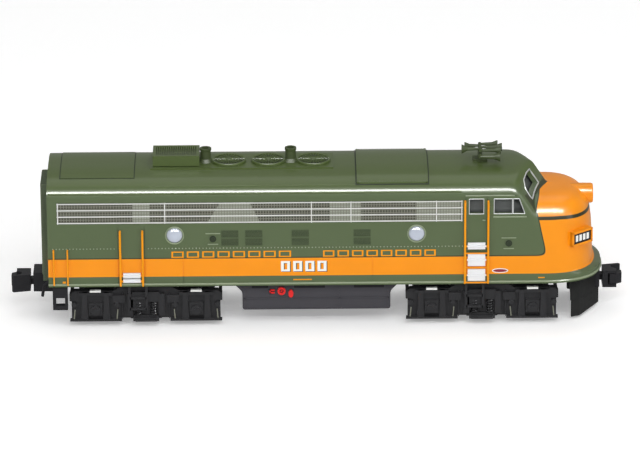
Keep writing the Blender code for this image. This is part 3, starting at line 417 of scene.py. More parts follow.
class Nodes:
    """Short names for adding shader nodes to one material."""

    def __init__(self, name):
        self.material = bpy.data.materials.new(name)
        self.material.use_nodes = True
        self.tree = self.material.node_tree
        self.shader = self.tree.nodes["Principled BSDF"]

    def add(self, kind):
        return self.tree.nodes.new(kind)

    def feed(self, socket, value):
        """Link a socket, or set a constant on it."""
        if isinstance(value, bpy.types.NodeSocket):
            self.tree.links.new(value, socket)
        else:
            socket.default_value = value

    def math(self, operation, *values):
        node = self.add("ShaderNodeMath")
        node.operation = operation
        for socket, value in zip(node.inputs, values):
            self.feed(socket, value)
        return node.outputs[0]

    def mix(self, amount, first, second):
        node = self.add("ShaderNodeMix")
        node.data_type = "RGBA"
        self.feed(node.inputs["Factor"], amount)
        self.feed(node.inputs["A"], first)
        self.feed(node.inputs["B"], second)
        return node.outputs["Result"]

    def place(self):
        """Place in the part's frame, in metres."""
        return self.add("ShaderNodeTexCoord").outputs["Object"]

    def axes(self):
        """X, Y and Z in millimetres."""
        split = self.add("ShaderNodeSeparateXYZ")
        self.feed(split.inputs[0], self.place())
        return [self.math("DIVIDE", split.outputs[index], MM) for index in range(3)]

    def noise(self, cycles_per_mm, detail=3.0):
        node = self.add("ShaderNodeTexNoise")
        self.feed(node.inputs["Vector"], self.place())
        node.inputs["Scale"].default_value = cycles_per_mm / MM
        node.inputs["Detail"].default_value = detail
        return node.outputs["Fac"]

    def above(self, value, edge, soft=0.03):
        """0 below an edge, 1 above it, with a short ramp between."""
        rise = self.math("DIVIDE", self.math("SUBTRACT", value, edge), soft)
        return self.math("MINIMUM", self.math("MAXIMUM", rise, 0.0), 1.0)

    def below(self, value, edge, soft=0.03):
        return self.outside(self.above(value, edge, soft))

    def between(self, value, low, high, soft=0.03):
        return self.both(self.above(value, low, soft), self.below(value, high, soft))

    def both(self, first, second):
        return self.math("MULTIPLY", first, second)

    def outside(self, mask):
        return self.math("SUBTRACT", 1.0, mask)

    def surface(self, colour, roughness, metallic=0.0, mottle=0.06, grain=0.12, depth=0.004):
        """Colour with slow mottling, uneven roughness and a fine bump."""
        shade = self.math("MULTIPLY_ADD", self.noise(0.35), 2 * mottle, 1.0 - mottle)
        tint = self.add("ShaderNodeVectorMath")
        tint.operation = "SCALE"
        self.feed(tint.inputs[0], colour if isinstance(colour, bpy.types.NodeSocket) else colour[:3])
        self.feed(tint.inputs["Scale"], shade)
        rough = self.math("MULTIPLY_ADD", self.noise(2.5), 2 * grain * roughness,
                          roughness * (1 - grain))
        bump = self.add("ShaderNodeBump")
        bump.inputs["Strength"].default_value = 0.5
        bump.inputs["Distance"].default_value = depth * MM
        self.feed(bump.inputs["Height"], self.noise(6.0))
        values = (("Base Color", tint.outputs[0]), ("Roughness", rough), ("Metallic", metallic),
                  ("Specular IOR Level", SHEEN), ("Normal", bump.outputs[0]))
        for name, value in values:
            self.feed(self.shader.inputs[name], value)
        return self.material


def plain(name, colour, roughness, metallic=0.0, **more):
    """A material of one colour with the usual mottling and bump."""
    return Nodes(name).surface(colour, roughness, metallic, **more)


def lacquered(material, weight=0.4, roughness=0.14):
    """Add a clear gloss coat."""
    shader = material.node_tree.nodes["Principled BSDF"]
    shader.inputs["Coat Weight"].default_value = weight
    shader.inputs["Coat Roughness"].default_value = roughness
    return material


def livery():
    """Green body, orange band along the sides and an orange nose with a green belt; the roof is
    darkened as painted shade and the nose crown lightened as painted highlight.
    """
    nodes = Nodes("livery")
    x, y, z = nodes.axes()
    green = nodes.mix(nodes.above(z, *ROOF_PAINTED_SHADE), GREEN, ROOF_SHADED_GREEN)

    # The band and the nose are one field: above 0 on orange, with a rounded inner corner
    lower = nodes.math("SUBTRACT", z, CAB_EDGE[1])
    lower = nodes.math("MULTIPLY_ADD", lower, CAB_EDGE_LEAN, CAB_EDGE[0])
    rise = nodes.math("MAXIMUM", nodes.math("SUBTRACT", z, BROW[1]), 0.0)
    upper = nodes.math("MULTIPLY_ADD", nodes.both(rise, rise), BROW_SWEEP, BROW[0])
    past_nose = nodes.math("SUBTRACT", x, nodes.math("MAXIMUM", lower, upper))
    below_band = nodes.math("SUBTRACT", BAND_Z[1], z)
    orange_field = nodes.math("SMOOTH_MAX", past_nose, below_band, BAND_CORNER)
    orange = nodes.both(nodes.above(orange_field, 0.0, PAINT_RAMP),
                        nodes.above(z, BAND_Z[0], PAINT_RAMP))

    # The windshield planes stay green down to their foot
    screen = nodes.math("MULTIPLY_ADD", nodes.math("ABSOLUTE", y), SCREEN_SWEEP, x)
    screen = nodes.math("MULTIPLY_ADD", nodes.math("SUBTRACT", z, SCREEN_Z), SCREEN_RAKE, screen)
    behind = nodes.below(screen, SCREEN_X + 0.12, PAINT_RAMP)
    on_screen = nodes.both(nodes.above(z, SCREEN_FOOT, 0.1), behind)
    orange = nodes.both(orange, nodes.outside(on_screen))

    # The belt crosses the orange and drops a little towards the front
    ahead = nodes.math("MAXIMUM", nodes.math("SUBTRACT", x, BELT_DROP[0]), 0.0)
    height = nodes.math("MULTIPLY_ADD", ahead, BELT_DROP[1], z)
    belt = nodes.between(height, BELT_Z - BELT_HALF[0], BELT_Z + BELT_HALF[1], PAINT_RAMP)
    orange = nodes.both(orange, nodes.outside(belt))
    green = nodes.mix(nodes.both(belt, nodes.above(x, BELT_START, 0.2)), green, BELT_GREEN)

    # Thin dark lines where green meets orange
    outline = nodes.between(orange_field, -0.14, -0.02, 0.04)
    crease = nodes.between(screen, SCREEN_X - 0.04, SCREEN_X + 0.12, 0.04)
    crease = nodes.both(crease, nodes.between(z, SCREEN_FOOT, 16.9, 0.1))
    lines = nodes.both(nodes.math("MAXIMUM", outline, crease), 0.8)
    green = nodes.mix(lines, green, BELT_GREEN)

    # Lighter orange above the crown height is painted highlight
    orange_with_highlight = nodes.mix(nodes.above(z, *CROWN_PAINTED_HIGHLIGHT), ORANGE, CROWN_LIT_ORANGE)
    return lacquered(nodes.surface(nodes.mix(orange, green, orange_with_highlight), 0.34, mottle=0.04))


def step_paint():
    """Yellow wires with bright plates between them, for the steps and handrails."""
    nodes = Nodes("step_paint")
    x, y, z = nodes.axes()
    plates = nodes.math("ADD", nodes.between(x, 18.5, 20.85), nodes.between(x, -23.85, -21.7))
    on_plate = nodes.both(plates, nodes.below(z, 11.3))
    return nodes.surface(nodes.mix(on_plate, YELLOW, PLATE_WHITE), 0.35)


def glass(name, colour, roughness=0.06):
    """Opaque stand-in for glass: a dark or silvered colour under a clear coat."""
    return lacquered(plain(name, colour, roughness, mottle=0.08), 0.8, 0.03)


PAINT = livery()
# Roof pieces take the darker roof green, which is painted shade
ROOF_SHADED_PAINT = lacquered(plain("roof_shaded_paint", ROOF_SHADED_GREEN, 0.34, mottle=0.05))
STACK_PAINT = plain("stack_paint", rgb(66, 78, 44), 0.5)
SIDE_PAINT = lacquered(plain("side_paint", GREEN, 0.34, mottle=0.05))
# Lighter green for rivets, beads, bars and rings: painted highlight on edges that catch the light
EDGE_HIGHLIGHT_PAINT = lacquered(plain("edge_highlight_paint", rgb(134, 146, 118), 0.3, mottle=0.05))
# Dark green: the own colour of caps, fan blades and seams, and painted shade behind the louvre slats
DARK_PAINT_AND_SHADE = plain("dark_paint_and_shade", rgb(46, 56, 38), 0.5)
GANGWAY_PAINT = plain("gangway_paint", rgb(98, 109, 86), 0.5)
NOSE_PAINT = lacquered(plain("nose_paint", ORANGE, 0.34, mottle=0.03))
STEP_PAINT = step_paint()
GRAB_PAINT = plain("grab_paint", YELLOW, 0.35)
BLACK_PLASTIC = plain("black_plastic", BLACK, 0.42, grain=0.2)
TRUCK_PLASTIC = lacquered(plain("truck_plastic", TRUCK_BLACK, 0.34, grain=0.2))
GREY_PLASTIC = plain("grey_plastic", rgb(63, 62, 67), 0.48, grain=0.2)
PLOW_PAINT = plain("plow_paint", rgb(28, 29, 28), 0.5, grain=0.2)
BRIGHT = plain("bright_paint", rgb(232, 233, 230), 0.4, mottle=0.04)
SILVER = plain("silver_paint", rgb(196, 199, 198), 0.34, 0.3)
# The dark sheet behind the grille mesh is painted shade
MESH_SHADE = plain("mesh_shade", rgb(74, 75, 64), 0.6)
MESH_LIGHT = plain("mesh_light", rgb(150, 155, 142), 0.45)
MESH_BAR = plain("mesh_bar", rgb(124, 125, 112), 0.5)
RED = plain("red_paint", rgb(214, 36, 36), 0.4)
BADGE_RED = plain("badge_red", rgb(140, 44, 60), 0.4)
BRASS = plain("brass", rgb(190, 150, 84), 0.3, 1.0)
STEEL = plain("steel", rgb(176, 176, 178), 0.3, 1.0)
WHEEL = plain("wheel_metal", rgb(70, 68, 66), 0.4, 0.8)
ZINC = plain("zinc", rgb(150, 150, 154), 0.45, 0.9)
NYLON = plain("nylon", rgb(222, 220, 210), 0.45)
BOARD = plain("board_green", rgb(28, 104, 60), 0.4)
WINDOW_GLASS = glass("window_glass", rgb(92, 95, 94))
LAMP_GLASS = glass("lamp_glass", rgb(222, 224, 222), 0.12)
# Pale blue-grey on the porthole lenses is a painted reflection
PORTHOLE_REFLECTION_GLASS = glass("porthole_reflection_glass", rgb(184, 191, 204), 0.16)

# Each node takes the first material here that goes with the start of its name
NODE_MATERIALS = (
    (WINDOW_GLASS, "cab_glazing"), (LAMP_GLASS, "headlight_lens"), (PORTHOLE_REFLECTION_GLASS, "porthole"),
    (MESH_SHADE, "side_grille"), (STEP_PAINT, ("cab_steps", "door_steps")),
    (STEEL, ("chassis_screw", "motor")), (ZINC, "chassis"), (BRASS, "flywheel"),
    (WHEEL, "wheelset"), (NYLON, ("worm_wheel", "idler_gear", "axle_gear")),
    (BOARD, "circuit_board"), (GREY_PLASTIC, ("fuel_tank", "truck_housing")),
    (TRUCK_PLASTIC, "truck_frame"), (BLACK_PLASTIC, ("coupler", "knuckle", "number_board")),
    (PLOW_PAINT, "snow_plow"), (GANGWAY_PAINT, "rear_gangway"),
    (STACK_PAINT, ("air_horn", "exhaust_stack")),
    (ROOF_SHADED_PAINT, ("winterization_hatch", "brake_hatch", "radiator_fan")), (PAINT, "body_shell"),
)


def dress_nodes():
    for name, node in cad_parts.items():
        material = next(paint for paint, starts in NODE_MATERIALS if name.startswith(starts))
        node.data.materials.clear()
        node.data.materials.append(material)


# ---- body shell


def shell_skin(bm, inset, rear, turns, fan):
    """Outer or inner skin of the shell; returns its open bottom edge."""
    levels = (BODY_BOTTOM, 5.9, 6.2, PILOT_TOP - PILOT_RAMP, 6.8, PILOT_TOP, 7.2, 8.0, 9.0, 10.0,
              CAB_AIM)
    pole = bm.verts.new((CAB_CENTRE, 0, ROOF_TOP - inset))
    columns = []
    for step in range(turns + 1):
        points = section(math.pi * step / turns, inset, levels, fan)
        columns.append([bm.verts.new(point) for point in points])
    for first, second in zip(columns, columns[1:]):
        for low in range(len(first) - 1):
            bm.faces.new((first[low], second[low], second[low + 1], first[low + 1]))
        bm.faces.new((first[-1], second[-1], pole))
    ring = columns[0] + [pole] + columns[-1][::-1]
    rear_ring = [bm.verts.new((rear, v.co.y, v.co.z)) for v in ring]
    for low in range(len(ring) - 1):
        bm.faces.new((ring[low], ring[low + 1], rear_ring[low + 1], rear_ring[low]))
    hub = bm.verts.new((rear, 0, CAB_AIM))
    for first, second in zip(rear_ring, rear_ring[1:] + rear_ring[:1]):
        bm.faces.new((first, second, hub))
    return [rear_ring[0]] + [column[0] for column in columns] + [rear_ring[-1]]


def shell_openings():
    """Windows, grille recesses, portholes and door seams as one cutter."""
    kit = Kit()
    for _, side in SIDES:
        wall = span(side, BODY_HALF_WIDTH - 1.2, BODY_HALF_WIDTH + 1)
        kit.box(DOOR_WINDOW_X, wall, WINDOW_Z)
        kit.box(SIDE_WINDOW_X, wall, WINDOW_Z)
        kit.prism(QUARTER_WINDOW, *wall, "Y")
        kit.prism(mirrored(SCREEN_PANE, side), 24.2, 28.7, "X")
        kit.box(GRILLE_X, span(side, BODY_HALF_WIDTH - GRILLE_DEPTH, BODY_HALF_WIDTH + 1), GRILLE_Z)
        for place in PORTHOLE_X:
            kit.rod((place, side * (BODY_HALF_WIDTH - 1.2), PORTHOLE_Z),
                    (place, side * (BODY_HALF_WIDTH + 1), PORTHOLE_Z), PORTHOLE_RADIUS, sides=32)
        seam = span(side, BODY_HALF_WIDTH - 0.1, BODY_HALF_WIDTH + 1)
        for place, low, high in SEAMS:
            kit.box(around(place, 0.04), seam, (low, high))
    kit.rod((NOSE_ROOT, 0, HEADLIGHT_Z), (HEADLIGHT_FRONT + 1, 0, HEADLIGHT_Z),
            HEADLIGHT_RADIUS - 0.3, sides=32)
    return kit.object("shell_openings")


def body_shell():
    """The painted shell, smoother than the part's, with its openings cut."""
    turns = 120
    kit = Kit()
    outside = shell_skin(kit.bm, 0.0, BODY_REAR, turns, 60)
    inside = shell_skin(kit.bm, WALL, BODY_REAR + WALL, turns, 20)
    for step in range(len(outside)):
        after = (step + 1) % len(outside)
        kit.bm.faces.new((outside[step], outside[after], inside[after], inside[step]))
    shell = kit.object("shell", 35)
    openings = shell_openings()
    modifier = shell.modifiers.new("openings", "BOOLEAN")
    modifier.operation = "DIFFERENCE"
    modifier.solver = "EXACT"
    modifier.object = openings
    graph = bpy.context.evaluated_depsgraph_get()
    mesh = bpy.data.meshes.new_from_object(shell.evaluated_get(graph))
    shell.modifiers.clear()
    shell.data = mesh
    bpy.data.objects.remove(openings, do_unlink=True)
    dress(soften(shell, 35), PAINT)
    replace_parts(shell, "body_shell")


# ---- sides


def side_grilles():
    """Etched mesh: rails and posts over fine bars on a dark sheet of painted shade, with lighter
    patches behind.
    """
    back = BODY_HALF_WIDTH - GRILLE_DEPTH
    low, high = GRILLE_Z
    for label, side in SIDES:
        slot = "side_grille_" + label
        light = Kit()
        patch_depth = span(side, back, back + 0.115)
        for x in GRILLE_PATCHES:
            light.box(x, patch_depth, (low + 0.1, high - 0.1))
        light.prism(GRILLE_SLOPED_PATCH, *patch_depth, "Y")
        light.piece("grille_patches_" + label, MESH_LIGHT, slot)
        # The dark sheet behind the bars is painted shade
        sheet = Kit()
        sheet.box(GRILLE_X, span(side, back - 0.02, back + 0.1), GRILLE_Z)
        mesh = sheet.piece("grille_shade_sheet_" + label, MESH_SHADE, slot)
        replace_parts(mesh, slot)
        bars = Kit()
        for number in range(int((GRILLE_X[1] - GRILLE_X[0]) / GRILLE_PITCH)):
            place = GRILLE_X[0] + GRILLE_PITCH * (number + 0.5)
            bars.box(around(place, 0.05), span(side, back + 0.1, back + 0.16), GRILLE_Z)
        for number in range(GRILLE_ROWS):
            level = low + (number + 0.5) * (high - low) / GRILLE_ROWS
            bars.box(GRILLE_X, span(side, back + 0.1, back + 0.15), around(level, 0.035))
        bars.piece("grille_bars_" + label, MESH_BAR, slot)
        rails = Kit()
        rail_depth = span(side, back + 0.12, BODY_HALF_WIDTH + 0.04)
        for level in GRILLE_RAILS:
            rails.box(GRILLE_X, rail_depth, around(level, 0.045))
        for place in GRILLE_POSTS:
            rails.box(around(place, 0.05), rail_depth, GRILLE_Z)
        rails.piece("grille_rails_" + label, BRIGHT, slot)


def louvres():
    """Two stacked panels of fine slats at each louvre place, over dark sheets of painted shade."""
    middle = sum(LOUVRE_Z) / 2
    panels = ((LOUVRE_Z[0], middle - 0.09), (middle + 0.09, LOUVRE_Z[1]))
    for label, side in SIDES:
        dark, slats = Kit(), Kit()
        for place in LOUVRE_X:
            x = (place - LOUVRE_WIDTH / 2, place + LOUVRE_WIDTH / 2)
            for low, high in panels:
                dark.box(x, span(side, 6.9, 7.015), (low, high))
                for number in range(LOUVRE_SLATS):
                    level = low + (high - low) * (number + 0.5) / LOUVRE_SLATS
                    slats.box(x, span(side, 6.95, 7.05), around(level, 0.03))
            slats.box(x, span(side, 6.95, 7.06), around(middle, 0.05))
        # The dark sheets behind the slats are painted shade
        dark.piece("louvre_shade_panels_" + label, DARK_PAINT_AND_SHADE)
        slats.piece("louvre_slats_" + label, SIDE_PAINT)


def rivets_and_beads():
    """Batten rivets, a bead along the sill, drip rails and window sills, in a lighter green as painted
    highlight.
    """
    for label, side in SIDES:
        kit = Kit()
        face = side * BODY_HALF_WIDTH
        place = BODY_REAR + 0.6
        while place < CAB_DOOR_X:
            if abs(place - DOORWAY_X) > 1.9:
                kit.ball((place, face, RIVET_Z), 0.085, (1, 0.8, 1))
            place += RIVET_PITCH
        kit.piece("rivets_" + label, EDGE_HIGHLIGHT_PAINT)
        beads = Kit()
        beads.tube([(18.3, face + side * 0.03, 17.25), (24.3, face + side * 0.03, 17.25)], 0.09)
        beads.tube([(21.7, face, 14.45), (25.8, face, 14.45)], 0.1)
        beads.box((20.4, 20.75), span(side, 7.0, 7.18), (14.0, 14.12))
        beads.piece("window_beads_" + label, EDGE_HIGHLIGHT_PAINT)
    # The sill bead is lighter as a painted highlight along the bottom edge
    sill = Kit()
    sill.tube(outline_at(5.95, 0.02), 0.13)
    sill.piece("sill_highlight_bead", EDGE_HIGHLIGHT_PAINT)


def fillers():
    """Fuel fillers: a round cap between two short bars; the bars are lighter as painted highlight."""
    for label, side in SIDES:
        caps, bars = Kit(), Kit()
        for place, level in FILLERS:
            caps.rod((place, side * 6.9, level), (place, side * 7.1, level), 0.42, sides=24)
            caps.rod((place, side * 7.1, level), (place, side * 7.16, level), 0.24, sides=16)
            for offset in (-0.7, 0.7):
                width = 0.9 if offset > 0 else 0.65
                bars.box((place - width, place + width), span(side, 6.9, 7.08),
                         around(level + offset, 0.06))
        caps.piece("filler_caps_" + label, DARK_PAINT_AND_SHADE)
        bars.piece("filler_bars_" + label, EDGE_HIGHLIGHT_PAINT)


def portholes():
    """Domed lenses in thin rings; the lenses are silvered as painted reflection and the rings are
    lighter as painted highlight.
    """
    for label, side in SIDES:
        for where, place in zip(("rear", "front"), PORTHOLE_X):
            kit = Kit()
            ring = ((1.0, -0.3), (1.17, -0.3), (1.17, 0.03), (1.1, 0.1), (1.0, 0.06))
            kit.turned(ring, (place, side * BODY_HALF_WIDTH, PORTHOLE_Z), (0, side, 0))
            name = "porthole_%s_%s" % (where, label)
            kit.piece(name + "_ring", EDGE_HIGHLIGHT_PAINT, name)
            lens = Kit()
            lens.ball((place, side * (BODY_HALF_WIDTH - 0.22), PORTHOLE_Z), 1.0, (1, 0.62, 1), 32)
            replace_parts(lens.piece(name + "_lens", PORTHOLE_REFLECTION_GLASS, name, angle=80), name)


def window_frames():
    """Thin bright frames in the side windows."""
    low, high = WINDOW_Z
    for label, side in SIDES:
        kit = Kit()
        level = side * (BODY_HALF_WIDTH - 0.03)
        outlines = [((x[0], low), (x[1], low), (x[1], high), (x[0], high))
                    for x in (DOOR_WINDOW_X, SIDE_WINDOW_X)]
        for outline in outlines + [QUARTER_WINDOW]:
            corners = [(x, level, z) for x, z in outline]
            for first, second in zip(corners, corners[1:] + corners[:1]):
                kit.rod(first, second, 0.06, sides=8)
        kit.piece("window_frames_" + label, SILVER, "cab_glazing")


def screen_frames():
    """Bright gaskets round the windshield panes, lying on the body surface."""
    for label, side in SIDES:
        kit = Kit()
        corners = [Vector((0, side * y, z)) for y, z in SCREEN_PANE]
        path = []
        for first, second in zip(corners, corners[1:] + corners[:1]):
            for step in range(4):
                point = first.lerp(second, step / 4)
                point.x = CAB_CENTRE
                path.append(point + Vector((reach(point, Vector((1, 0, 0)), 0.02), 0, 0)))
        kit.tube(path, 0.09, closed=True)
        kit.piece("screen_frame_" + label, SILVER, "cab_glazing")


def markings():
    """Plain blocks in rows, short bars and an oval plate on each side."""
    width, height = TALL_BLOCK_SIZE
    for label, side in SIDES:
        bright, white, shade = Kit(), Kit(), Kit()
        face = span(side, 6.95, 7.02)
        for start, end, count in BLOCK_ROWS:
            pitch = (end - start) / count
            for number in range(count):
                low = start + pitch * number
                open_block(bright, (low + 0.14, low + pitch - 0.24), face, BLOCK_Z, 0.2)
        for number in range(4):
            low = TALL_BLOCK_X + number * TALL_BLOCK_PITCH
            x = (low + 0.1, low + width + 0.1)
            open_block(shade, x, span(side, 6.95, 7.015), (7.45, 8.8), 0.36)
            x = (low, low + width)
            open_block(white, x, span(side, 6.95, 7.03), (7.52, 7.52 + height), 0.36)
        for x, z in SMALL_MARKS:
            bright.box(x, face, z)
        bright.piece("plain_marks_" + label, GRAB_PAINT)
        shade.piece("block_shades_" + label, BLACK_PLASTIC)
        white.piece("block_marks_" + label, BRIGHT)
        rim, middle = Kit(), Kit()
        rim.prism(ellipse(*OVAL_PLACE, 1.0, 0.3), *span(side, 6.95, 7.03), "Y")
        middle.prism(ellipse(*OVAL_PLACE, 0.85, 0.2), *span(side, 6.95, 7.045), "Y")
        rim.piece("oval_rim_" + label, BRIGHT)
        middle.piece("oval_plate_" + label, BADGE_RED)


def open_block(kit, x, y, z, stroke):
    """An upright rectangle of strokes."""
    for place in ((x[0], x[0] + stroke), (x[1] - stroke, x[1])):
        kit.box(place, y, z)
    for level in ((z[0], z[0] + stroke * 0.7), (z[1] - stroke * 0.7, z[1])):
        kit.box((x[0] + stroke, x[1] - stroke), y, level)


def ellipse(x, z, half_length, half_height, count=24):
    """Points of (x, z) round an upright ellipse."""
    return [(x + half_length * math.cos(2 * math.pi * k / count),
             z + half_height * math.sin(2 * math.pi * k / count)) for k in range(count)]


def corner_grabs():
    """Short handrails at the rear corners and the rungs of the cab steps."""
    for label, side in SIDES:
        kit = Kit()
        rail = side * 7.35
        for place in (-32.35, -30.65):
            foot = side * 6.98
            kit.tube([(place, foot, 10.5), (place, rail, 10.4),
                      (place, rail, 6.0), (place, foot, 5.9)], 0.1)
        kit.piece("corner_grabs_" + label, GRAB_PAINT, "door_steps_" + label)
        stirrup = Kit()
        for level in (9.83, 7.92, 5.98):
            stirrup.box((18.2, 21.1), span(side, 7.3, 7.42), around(level, 0.08))
        stirrup.piece("stirrup_" + label, NOSE_PAINT, "cab_steps_" + label)


# ---- nose


def headlight_housing():
    """Tube round the headlight lens, with a rolled front edge."""
    kit = Kit()
    profile = ((HEADLIGHT_RADIUS - 0.3, 31.5), (HEADLIGHT_RADIUS, 31.5), (HEADLIGHT_RADIUS, 34.1),
               (HEADLIGHT_RADIUS - 0.12, HEADLIGHT_FRONT), (HEADLIGHT_RADIUS - 0.25, HEADLIGHT_FRONT),
               (HEADLIGHT_RADIUS - 0.3, 34.2))
    kit.turned(profile, (0, 0, HEADLIGHT_Z), (1, 0, 0), 48)
    kit.piece("headlight_housing", NOSE_PAINT)


def number_board_housings():
    """Wedges that carry the number boards on the nose shoulders."""
    for label, side in SIDES:
        turn = math.radians(NUMBER_BOARD_TURN)
        outward = Vector((math.cos(turn), side * math.sin(turn), 0))
        start = Vector((NOSE_ROOT - 0.2, 0, NUMBER_BOARD_Z))
        back = start + outward * (reach(start, outward, 0.0) + 0.16)
        kit = Kit()
        kit.block(back - outward * 0.9, (2.3, 3.3, 1.85), side * turn)
        across = Vector((-outward.y, outward.x, 0))
        front = back + outward * 0.26
        for level in (-0.8, 0.8):
            kit.block(front + Vector((0, 0, level)), (0.5, 3.3, 0.26), side * turn)
        for offset in (-1.55, 1.55):
            kit.block(front + across * offset, (0.5, 0.2, 1.8), side * turn)
        kit.piece("number_board_housing_" + label, NOSE_PAINT)
        digits = Kit()
        for number in range(4):
            place = back + outward * 0.4 + across * (-0.9 + number * 0.6)
            digits.block(place, (0.04, 0.4, 0.8), side * turn)
        digits.piece("number_board_blocks_" + label, BRIGHT, "number_board_" + label)


# ---- roof


def roof_panel(kit, x, half, lift, steps=24):
    """A sheet that follows the roof between two limits on X, lifted off it."""
    outline = []
    for raised, order in ((lift, 1), (-0.3, -1)):
        for step in range(steps + 1):
            y = order * (2 * step / steps - 1) * half
            outline.append((y, roof_height(y, raised)))
    kit.prism(outline, *x, "X")


def roof_details():
    """Rear panel, gutters, fan deck, panel seams and the brake hatch."""
    kit = Kit()
    roof_panel(kit, REAR_PANEL_X, REAR_PANEL_HALF, 0.1)
    for side in (-1, 1):
        y = side * 6.1
        level = roof_height(y, 0.0)
        kit.tube([(-20.6, y, level), (4.8, y, level)], 0.07)
        kit.tube([(-32.9, side * 6.85, 17.75), (17.8, side * 6.85, 17.75)], 0.12)
    kit.box((HATCH_X[0] - 0.3, FAN_X[-1] + FAN_RADIUS + 0.3), (-2.6, 2.6), (ROOF_TOP - 0.3, ROOF_DECK))
    kit.piece("roof_details", ROOF_SHADED_PAINT)

    seam = Kit()
    seam_x = (BRAKE_HATCH_X[0] - 0.28, BRAKE_HATCH_X[1] + 0.28)
    roof_panel(seam, seam_x, BRAKE_HATCH_HALF + 0.16, 0.03, 32)
    seam_x = (REAR_PANEL_X[0] - 0.12, REAR_PANEL_X[1] + 0.12)
    roof_panel(seam, seam_x, REAR_PANEL_HALF + 0.1, 0.03, 32)
    seam.piece("roof_seams", DARK_PAINT_AND_SHADE, angle=30)

    brake = Kit()
    roof_panel(brake, BRAKE_HATCH_X, BRAKE_HATCH_HALF, 0.16, 32)
    for place in BRAKE_HATCH_X:
        roof_panel(brake, around(place, 0.12), BRAKE_HATCH_HALF, 0.24, 32)
    for side in (-1, 1):
        y = side * (BRAKE_HATCH_HALF - 0.12)
        level = roof_height(y, 0.18)
        for number in range(24):
            place = BRAKE_HATCH_X[0] + 0.3 + number * 0.34
            brake.ball((place, y, level), 0.08)
    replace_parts(brake.piece("brake_hatch_panel", ROOF_SHADED_PAINT, "brake_hatch", angle=30), "brake_hatch")


def fans():
    """Round fan housings with a ring, radial guard wires and a hub."""
    for number, place in enumerate(FAN_X, 1):
        slot = "radiator_fan_%d" % number
        base = ROOF_DECK + 0.02
        kit = Kit()
        kit.turned(((1.85, 0.0), (FAN_RADIUS, 0.0), (FAN_RADIUS, 0.22), (2.08, 0.3), (1.98, 0.3),
                    (1.85, 0.2)), (place, 0, base), (0, 0, 1), 64)
        kit.rod((place, 0, base), (place, 0, base + 0.3), 0.42, 0.3, sides=24)
        for step in range(28):
            angle = 2 * math.pi * step / 28
            arm = Vector((math.cos(angle), math.sin(angle), 0))
            start = Vector((place, 0, base + 0.2)) + arm * 0.35
            kit.rod(start, Vector((place, 0, base + 0.24)) + arm * 1.95, 0.04, sides=6)
        for radius in (0.8, 1.3):
            kit.turned(((radius - 0.03, 0.2), (radius + 0.03, 0.2), (radius + 0.03, 0.26),
                        (radius - 0.03, 0.26)), (place, 0, base), (0, 0, 1), 48)
        ring = kit.piece("fan_guard_%d" % number, ROOF_SHADED_PAINT, slot)
        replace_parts(ring, slot)
        floor = Kit()
        floor.rod((place, 0, base - 0.03), (place, 0, base + 0.06), 1.8, sides=48)
        for blade in range(6):
            angle = 2 * math.pi * blade / 6
            centre = (place + 1.0 * math.cos(angle), math.sin(angle), base + 0.1)
            floor.block(centre, (1.3, 0.42, 0.06), angle)
        floor.piece("fan_blades_%d" % number, DARK_PAINT_AND_SHADE, slot)


def stack_rims():
    """A flared rim and a round foot on each exhaust stack."""
    for label, place in zip(("rear", "front"), STACK_X):
        kit = Kit()
        rim = ((0.42, 1.3), (0.62, 1.3), (0.72, 1.45), (0.72, 1.72), (0.42, 1.72))
        foot = ((0.64, 0.0), (0.95, 0.0), (0.7, 0.4), (0.64, 0.4))
        for profile in (rim, foot):
            kit.turned(profile, (place, 0, ROOF_DECK), (0, 0, 1), 32)
        kit.piece("stack_rim_" + label, STACK_PAINT, "exhaust_stack_" + label)


def horn_bracket():
    """Low bracket and a second tier of chimes."""
    kit = Kit()
    kit.box(around(HORN_X, 0.9), (-0.7, 0.7), (ROOF_TOP - 0.05, ROOF_TOP + 0.3))
    elbow = (HORN_X, -1.9, 20.45)
    kit.rod(elbow, (HORN_X, 0.3, 20.45), 0.26, sides=16)
    kit.rod(elbow, (HORN_X + 1.7, -1.9, 20.45), 0.2, 0.3, sides=20)
    kit.rod((HORN_X + 1.6, -1.9, 20.45), (HORN_X + 2.4, -1.9, 20.45), 0.28, 0.6, sides=20)
    kit.piece("horn_bracket", STACK_PAINT, "air_horn")


def hatch_ribs():
    """Slats across the opening of the winterization hatch."""
    kit = Kit()
    place = HATCH_X[0] + 0.5
    while place < HATCH_X[1] - 0.45:
        kit.box((place, place + 0.12), (-1.65, 1.65), (HATCH_TOP - 0.34, HATCH_TOP - 0.03))
        place += 0.27
    kit.piece("hatch_ribs", ROOF_SHADED_PAINT, "winterization_hatch")


# ---- running gear


def coil(kit, centre, radius, height, turns, wire_radius):
    points = []
    for step in range(turns * 12 + 1):
        angle = 2 * math.pi * step / 12
        points.append((centre[0] + radius * math.cos(angle), centre[1] + radius * math.sin(angle),
                       centre[2] + height * step / (turns * 12)))
    kit.tube(points, wire_radius, sides=6)


